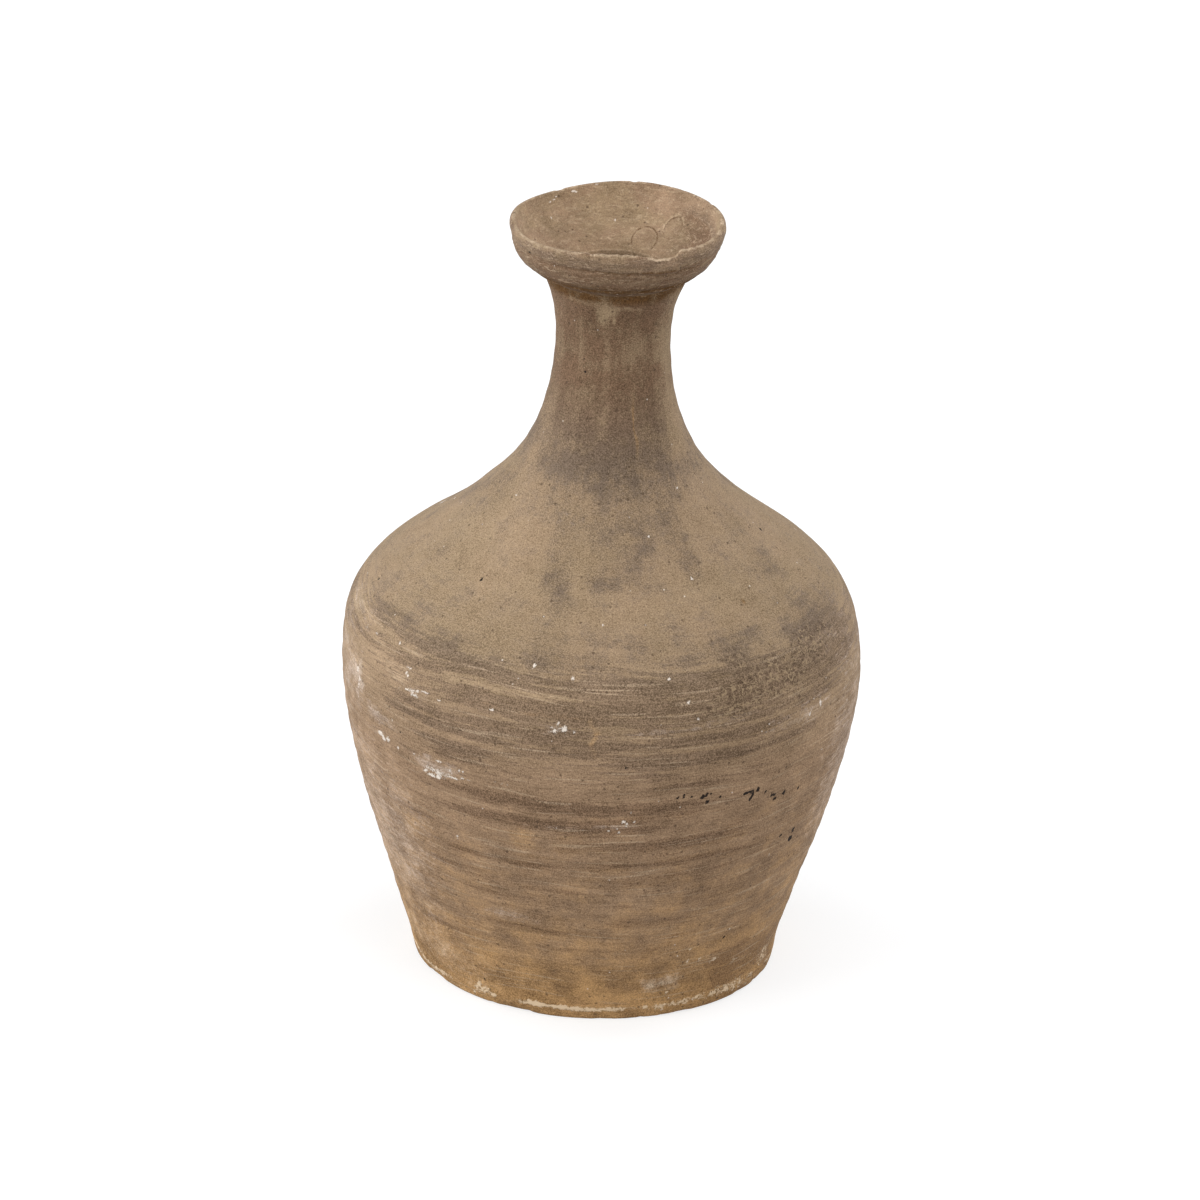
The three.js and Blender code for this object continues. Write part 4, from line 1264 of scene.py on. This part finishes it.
class JugFinish(bpy.types.PropertyGroup):
    """Colours of the clay and of what lies on it."""

    tan: a_colour("Tan clay", "Bare clay on the shoulder", (0.383, 0.273, 0.167))
    rose: a_colour("Rose clay", "Bare clay where it fired pinker", (0.358, 0.240, 0.154))
    buff: a_colour("Buff clay", "Bare clay on the lower body", (0.350, 0.228, 0.140))
    ochre: a_colour("Ochre clay", "Warmer clay at the foot", (0.440, 0.259, 0.116))
    soot: a_colour("Soot", "Grey-brown stain on belly and shoulder", (0.162, 0.117, 0.083))
    umber: a_colour("Umber", "Brown stain on the lower body and neck", (0.182, 0.111, 0.067))
    peat: a_colour("Peat", "Stain over the ochre clay", (0.150, 0.082, 0.040))
    # Painted shade under the dish and in its grooves.
    shade: a_colour("Shade", "Deep stain under the dish", (0.126, 0.064, 0.025))
    # The rubbed clay is also painted light in the top of the bore.
    pale: a_colour("Rubbed clay", "Clay on worn edges", (0.530, 0.395, 0.268))
    chalk: a_colour("Chalk", "Thin veil of lime", (0.600, 0.475, 0.392))
    lime: a_colour("Lime", "White crust from the ground", (0.890, 0.785, 0.685))
    cream: a_colour("Cream", "Crust along the foot", (0.860, 0.655, 0.440))
    burnt: a_colour("Burnt flecks", "Black flecks", (0.014, 0.012, 0.012))
    # Dirt and painted shade in small pits and cracks.
    pit: a_colour("Pits", "Dirt in small pits", (0.090, 0.056, 0.036))


class JugStage(bpy.types.PropertyGroup):
    """The camera, lamps and floor."""

    aim_aside: a_length("Aim aside", "How far right of the axis the camera looks", -1.67 * MM)
    aim_height: a_length("Aim height", "Height that the camera looks at", 180.3 * MM)
    distance: a_length("Distance", "Camera to jug", 3.42)
    elevation: an_angle("Elevation", "Camera above the horizon", 23.94)
    roll: an_angle("Roll", "Camera's turn about its own axis", 1.95)
    lens: a_number("Lens", "Focal length in millimetres on a 36 mm frame", 214.56)
    sky: a_number("Sky", "Strength of the even light from all sides", 0.50)
    key: a_number("Key", "Power of the large lamp at the left, in watts", 42.0)
    top: a_number("Top", "Power of the lamp overhead, in watts", 10.0)
    fill: a_number("Fill", "Power of the lamp at the right, in watts", 24.0)
    rim: a_number("Rim", "Power of each of the two lamps behind, in watts", 25.5)
    key_colour: a_colour("Key colour", "Colour of the lamp at the left", (0.96, 0.985, 1.0))
    rim_colour: a_colour("Rim colour", "Colour of the lamps behind", (0.84, 0.91, 1.0))
    floor: a_colour("Floor", "Colour of the floor", (0.42, 0.42, 0.42))


class BuildSlab(bpy.types.Operator):
    """Builds the base slab that the jug stands on"""

    bl_idname = "jug.base_slab"
    bl_label = "Base slab"

    def execute(self, context):
        form = context.scene.jug_form
        dressed(context, "base_slab", slab_faces("base_slab", form), "slab_clay", capped=True)
        return {"FINISHED"}


class BuildWalls(bpy.types.Operator):
    """Builds the thrown walls: lower body, shoulder and neck"""

    bl_idname = "jug.walls"
    bl_label = "Thrown walls"

    def execute(self, context):
        for node in ("lower_body", "shoulder", "neck"):
            dressed(context, node, wall_faces(node, context.scene.jug_form), "fired_clay")
        return {"FINISHED"}


class BuildJoints(bpy.types.Operator):
    """Builds the luted joints between the sections"""

    bl_idname = "jug.joints"
    bl_label = "Luted joints"

    def execute(self, context):
        form = context.scene.jug_form
        dressed(context, "base_luting_ring", cove_faces("base_luting_ring", form), "luting_clay")
        dressed(context, "belly_luting_ring", coil_faces("belly_luting_ring", form), "luting_clay")
        dressed(context, "neck_luting_ring", coil_faces("neck_luting_ring", form), "luting_clay")
        dressed(context, "mouth_luting_ring", strip_faces("mouth_luting_ring"), "luting_clay")
        return {"FINISHED"}


class BuildDish(bpy.types.Operator):
    """Builds the flared dish of the mouth with its worn lip"""

    bl_idname = "jug.dish_mouth"
    bl_label = "Dish mouth"

    def execute(self, context):
        form = context.scene.jug_form
        dressed(context, "dish_mouth", dish_faces("dish_mouth", form), "fired_clay")
        return {"FINISHED"}


# The stage's white, the floor's half width in metres and its glow, and the camera's frame in millimetres.
WHITE = (1.0, 1.0, 1.0, 1.0)
FLOOR_HALF = 8.0
FLOOR_GLOW = 0.66
FRAME_WIDTH = 36.0

# The lamps: name, place and size in metres, and the settings for power and colour.
LAMPS = (
    ("key", (-2.35, -1.3, 1.05), 1.6, "key", "key_colour"),
    ("top", (0.2, -0.5, 2.4), 1.6, "top", None),
    ("fill", (2.0, -2.0, 1.35), 1.6, "fill", None),
    ("rim_right", (1.9, 1.5, 1.3), 1.4, "rim", "rim_colour"),
    ("rim_left", (-2.1, 1.0, 1.1), 1.4, "rim", "rim_colour"),
)


def seen_rays(paint):
    """1 for camera, glossy and transmission rays, and 0 for the rays that light the jug."""
    kinds = ("Camera", "Glossy", "Transmission")
    rays = [paint.node("ShaderNodeLightPath", out=f"Is {kind} Ray") for kind in kinds]
    return (rays[0] + rays[1] + rays[2]).over(0.0, 1.0)


def floor_material(colour):
    """A pale floor: white to the camera, in mirrors and through glass, and it still takes a shadow."""
    material = bpy.data.materials.new("pale_floor")
    material.use_nodes = True
    paint = Paint(material.node_tree)
    matt = paint.node("ShaderNodeBsdfDiffuse", None, {"Color": opaque(colour)})
    strength = seen_rays(paint) * FLOOR_GLOW
    glow = paint.node("ShaderNodeEmission", None, {"Color": WHITE, "Strength": strength})
    both = paint.node("ShaderNodeAddShader", None, {0: matt, 1: glow})
    paint.node("ShaderNodeOutputMaterial", None, {"Surface": both})
    return material


def aimed(thing, place, aim, roll=0.0):
    """Puts a lamp or camera at a place, turned to a point and rolled about its own axis."""
    thing.location = place
    thing.rotation_mode = "QUATERNION"
    level = (Vector(aim) - Vector(place)).to_track_quat("-Z", "Y")
    thing.rotation_quaternion = level @ Quaternion((0.0, 0.0, 1.0), roll)


def add_floor(colour):
    """A wide flat floor under the jug."""
    half = FLOOR_HALF
    mesh = bpy.data.meshes.new("floor")
    corners = [(-half, -half, 0), (half, -half, 0), (half, half, 0), (-half, half, 0)]
    mesh.from_pydata(corners, [], [(0, 1, 2, 3)])
    mesh.materials.append(floor_material(colour))
    floor = placed("floor", mesh)


def add_sky(scene, level):
    """Even light from all sides at a level, on a ground that the camera sees as white."""
    scene.world = bpy.data.worlds.new("studio")
    scene.world.use_nodes = True
    paint = Paint(scene.world.node_tree)
    strength = seen_rays(paint) * (1 - level) + level
    sky = paint.node("ShaderNodeBackground", None, {"Color": WHITE, "Strength": strength})
    paint.node("ShaderNodeOutputWorld", None, {"Surface": sky})


def add_lamps(stage):
    """Square soft lamps turned to the middle of the jug."""
    for name, place, size, power, colour in LAMPS:
        light = bpy.data.lights.new(name, "AREA")
        light.size = size
        light.energy = getattr(stage, power)
        light.color = getattr(stage, colour) if colour else WHITE[:3]
        aimed(placed(name, light), place, (0.0, 0.0, stage.aim_height))


def add_camera(scene, stage):
    """The camera that sees the jug as the photo does."""
    aim = Vector((stage.aim_aside, 0.0, stage.aim_height))
    back = Vector((0.0, -math.cos(stage.elevation), math.sin(stage.elevation)))
    data = bpy.data.cameras.new("photo_camera")
    data.lens = stage.lens
    data.sensor_width = FRAME_WIDTH
    scene.camera = placed("photo_camera", data)
    aimed(scene.camera, aim + back * stage.distance, aim, stage.roll)


class BuildStage(bpy.types.Operator):
    """Sets up the floor, sky, lamps and camera"""

    bl_idname = "jug.stage"
    bl_label = "Stage"

    def execute(self, context):
        scene = context.scene
        stage = scene.jug_stage
        add_floor(stage.floor)
        add_sky(scene, stage.sky)
        add_lamps(stage)
        add_camera(scene, stage)
        scene.view_settings.view_transform = "Standard"
        return {"FINISHED"}


class JugPanel(bpy.types.Panel):
    """Lists the jug's pieces and stage in the sidebar"""

    bl_idname = "VIEW3D_PT_jug"
    bl_label = "Wine jug"
    bl_space_type = "VIEW_3D"
    bl_region_type = "UI"
    bl_category = "Jug"

    def draw(self, context):
        layout = self.layout
        for builder in BUILDERS:
            layout.operator(builder.bl_idname)
        for group in (context.scene.jug_form, context.scene.jug_finish, context.scene.jug_stage):
            box = layout.box()
            for name in group.__annotations__:
                box.prop(group, name)


BUILDERS = (BuildSlab, BuildWalls, BuildJoints, BuildDish, BuildStage)
CLASSES = (JugForm, JugFinish, JugStage, *BUILDERS, JugPanel)


def register():
    """Registers the classes and hangs the settings on the scene."""
    for each in CLASSES:
        bpy.utils.register_class(each)
    bpy.types.Scene.jug_form = bpy.props.PointerProperty(type=JugForm)
    bpy.types.Scene.jug_finish = bpy.props.PointerProperty(type=JugFinish)
    bpy.types.Scene.jug_stage = bpy.props.PointerProperty(type=JugStage)


def unregister():
    """Takes the settings and classes away again."""
    del bpy.types.Scene.jug_stage
    del bpy.types.Scene.jug_finish
    del bpy.types.Scene.jug_form
    for each in reversed(CLASSES):
        bpy.utils.unregister_class(each)


def main():
    """Builds the jug and its stage, and writes the CAD box and the visual model's box."""
    register()
    bpy.ops.jug.base_slab()
    bpy.ops.jug.walls()
    bpy.ops.jug.joints()
    bpy.ops.jug.dish_mouth()
    bpy.ops.jug.stage()


if __name__ == "__main__":
    main()
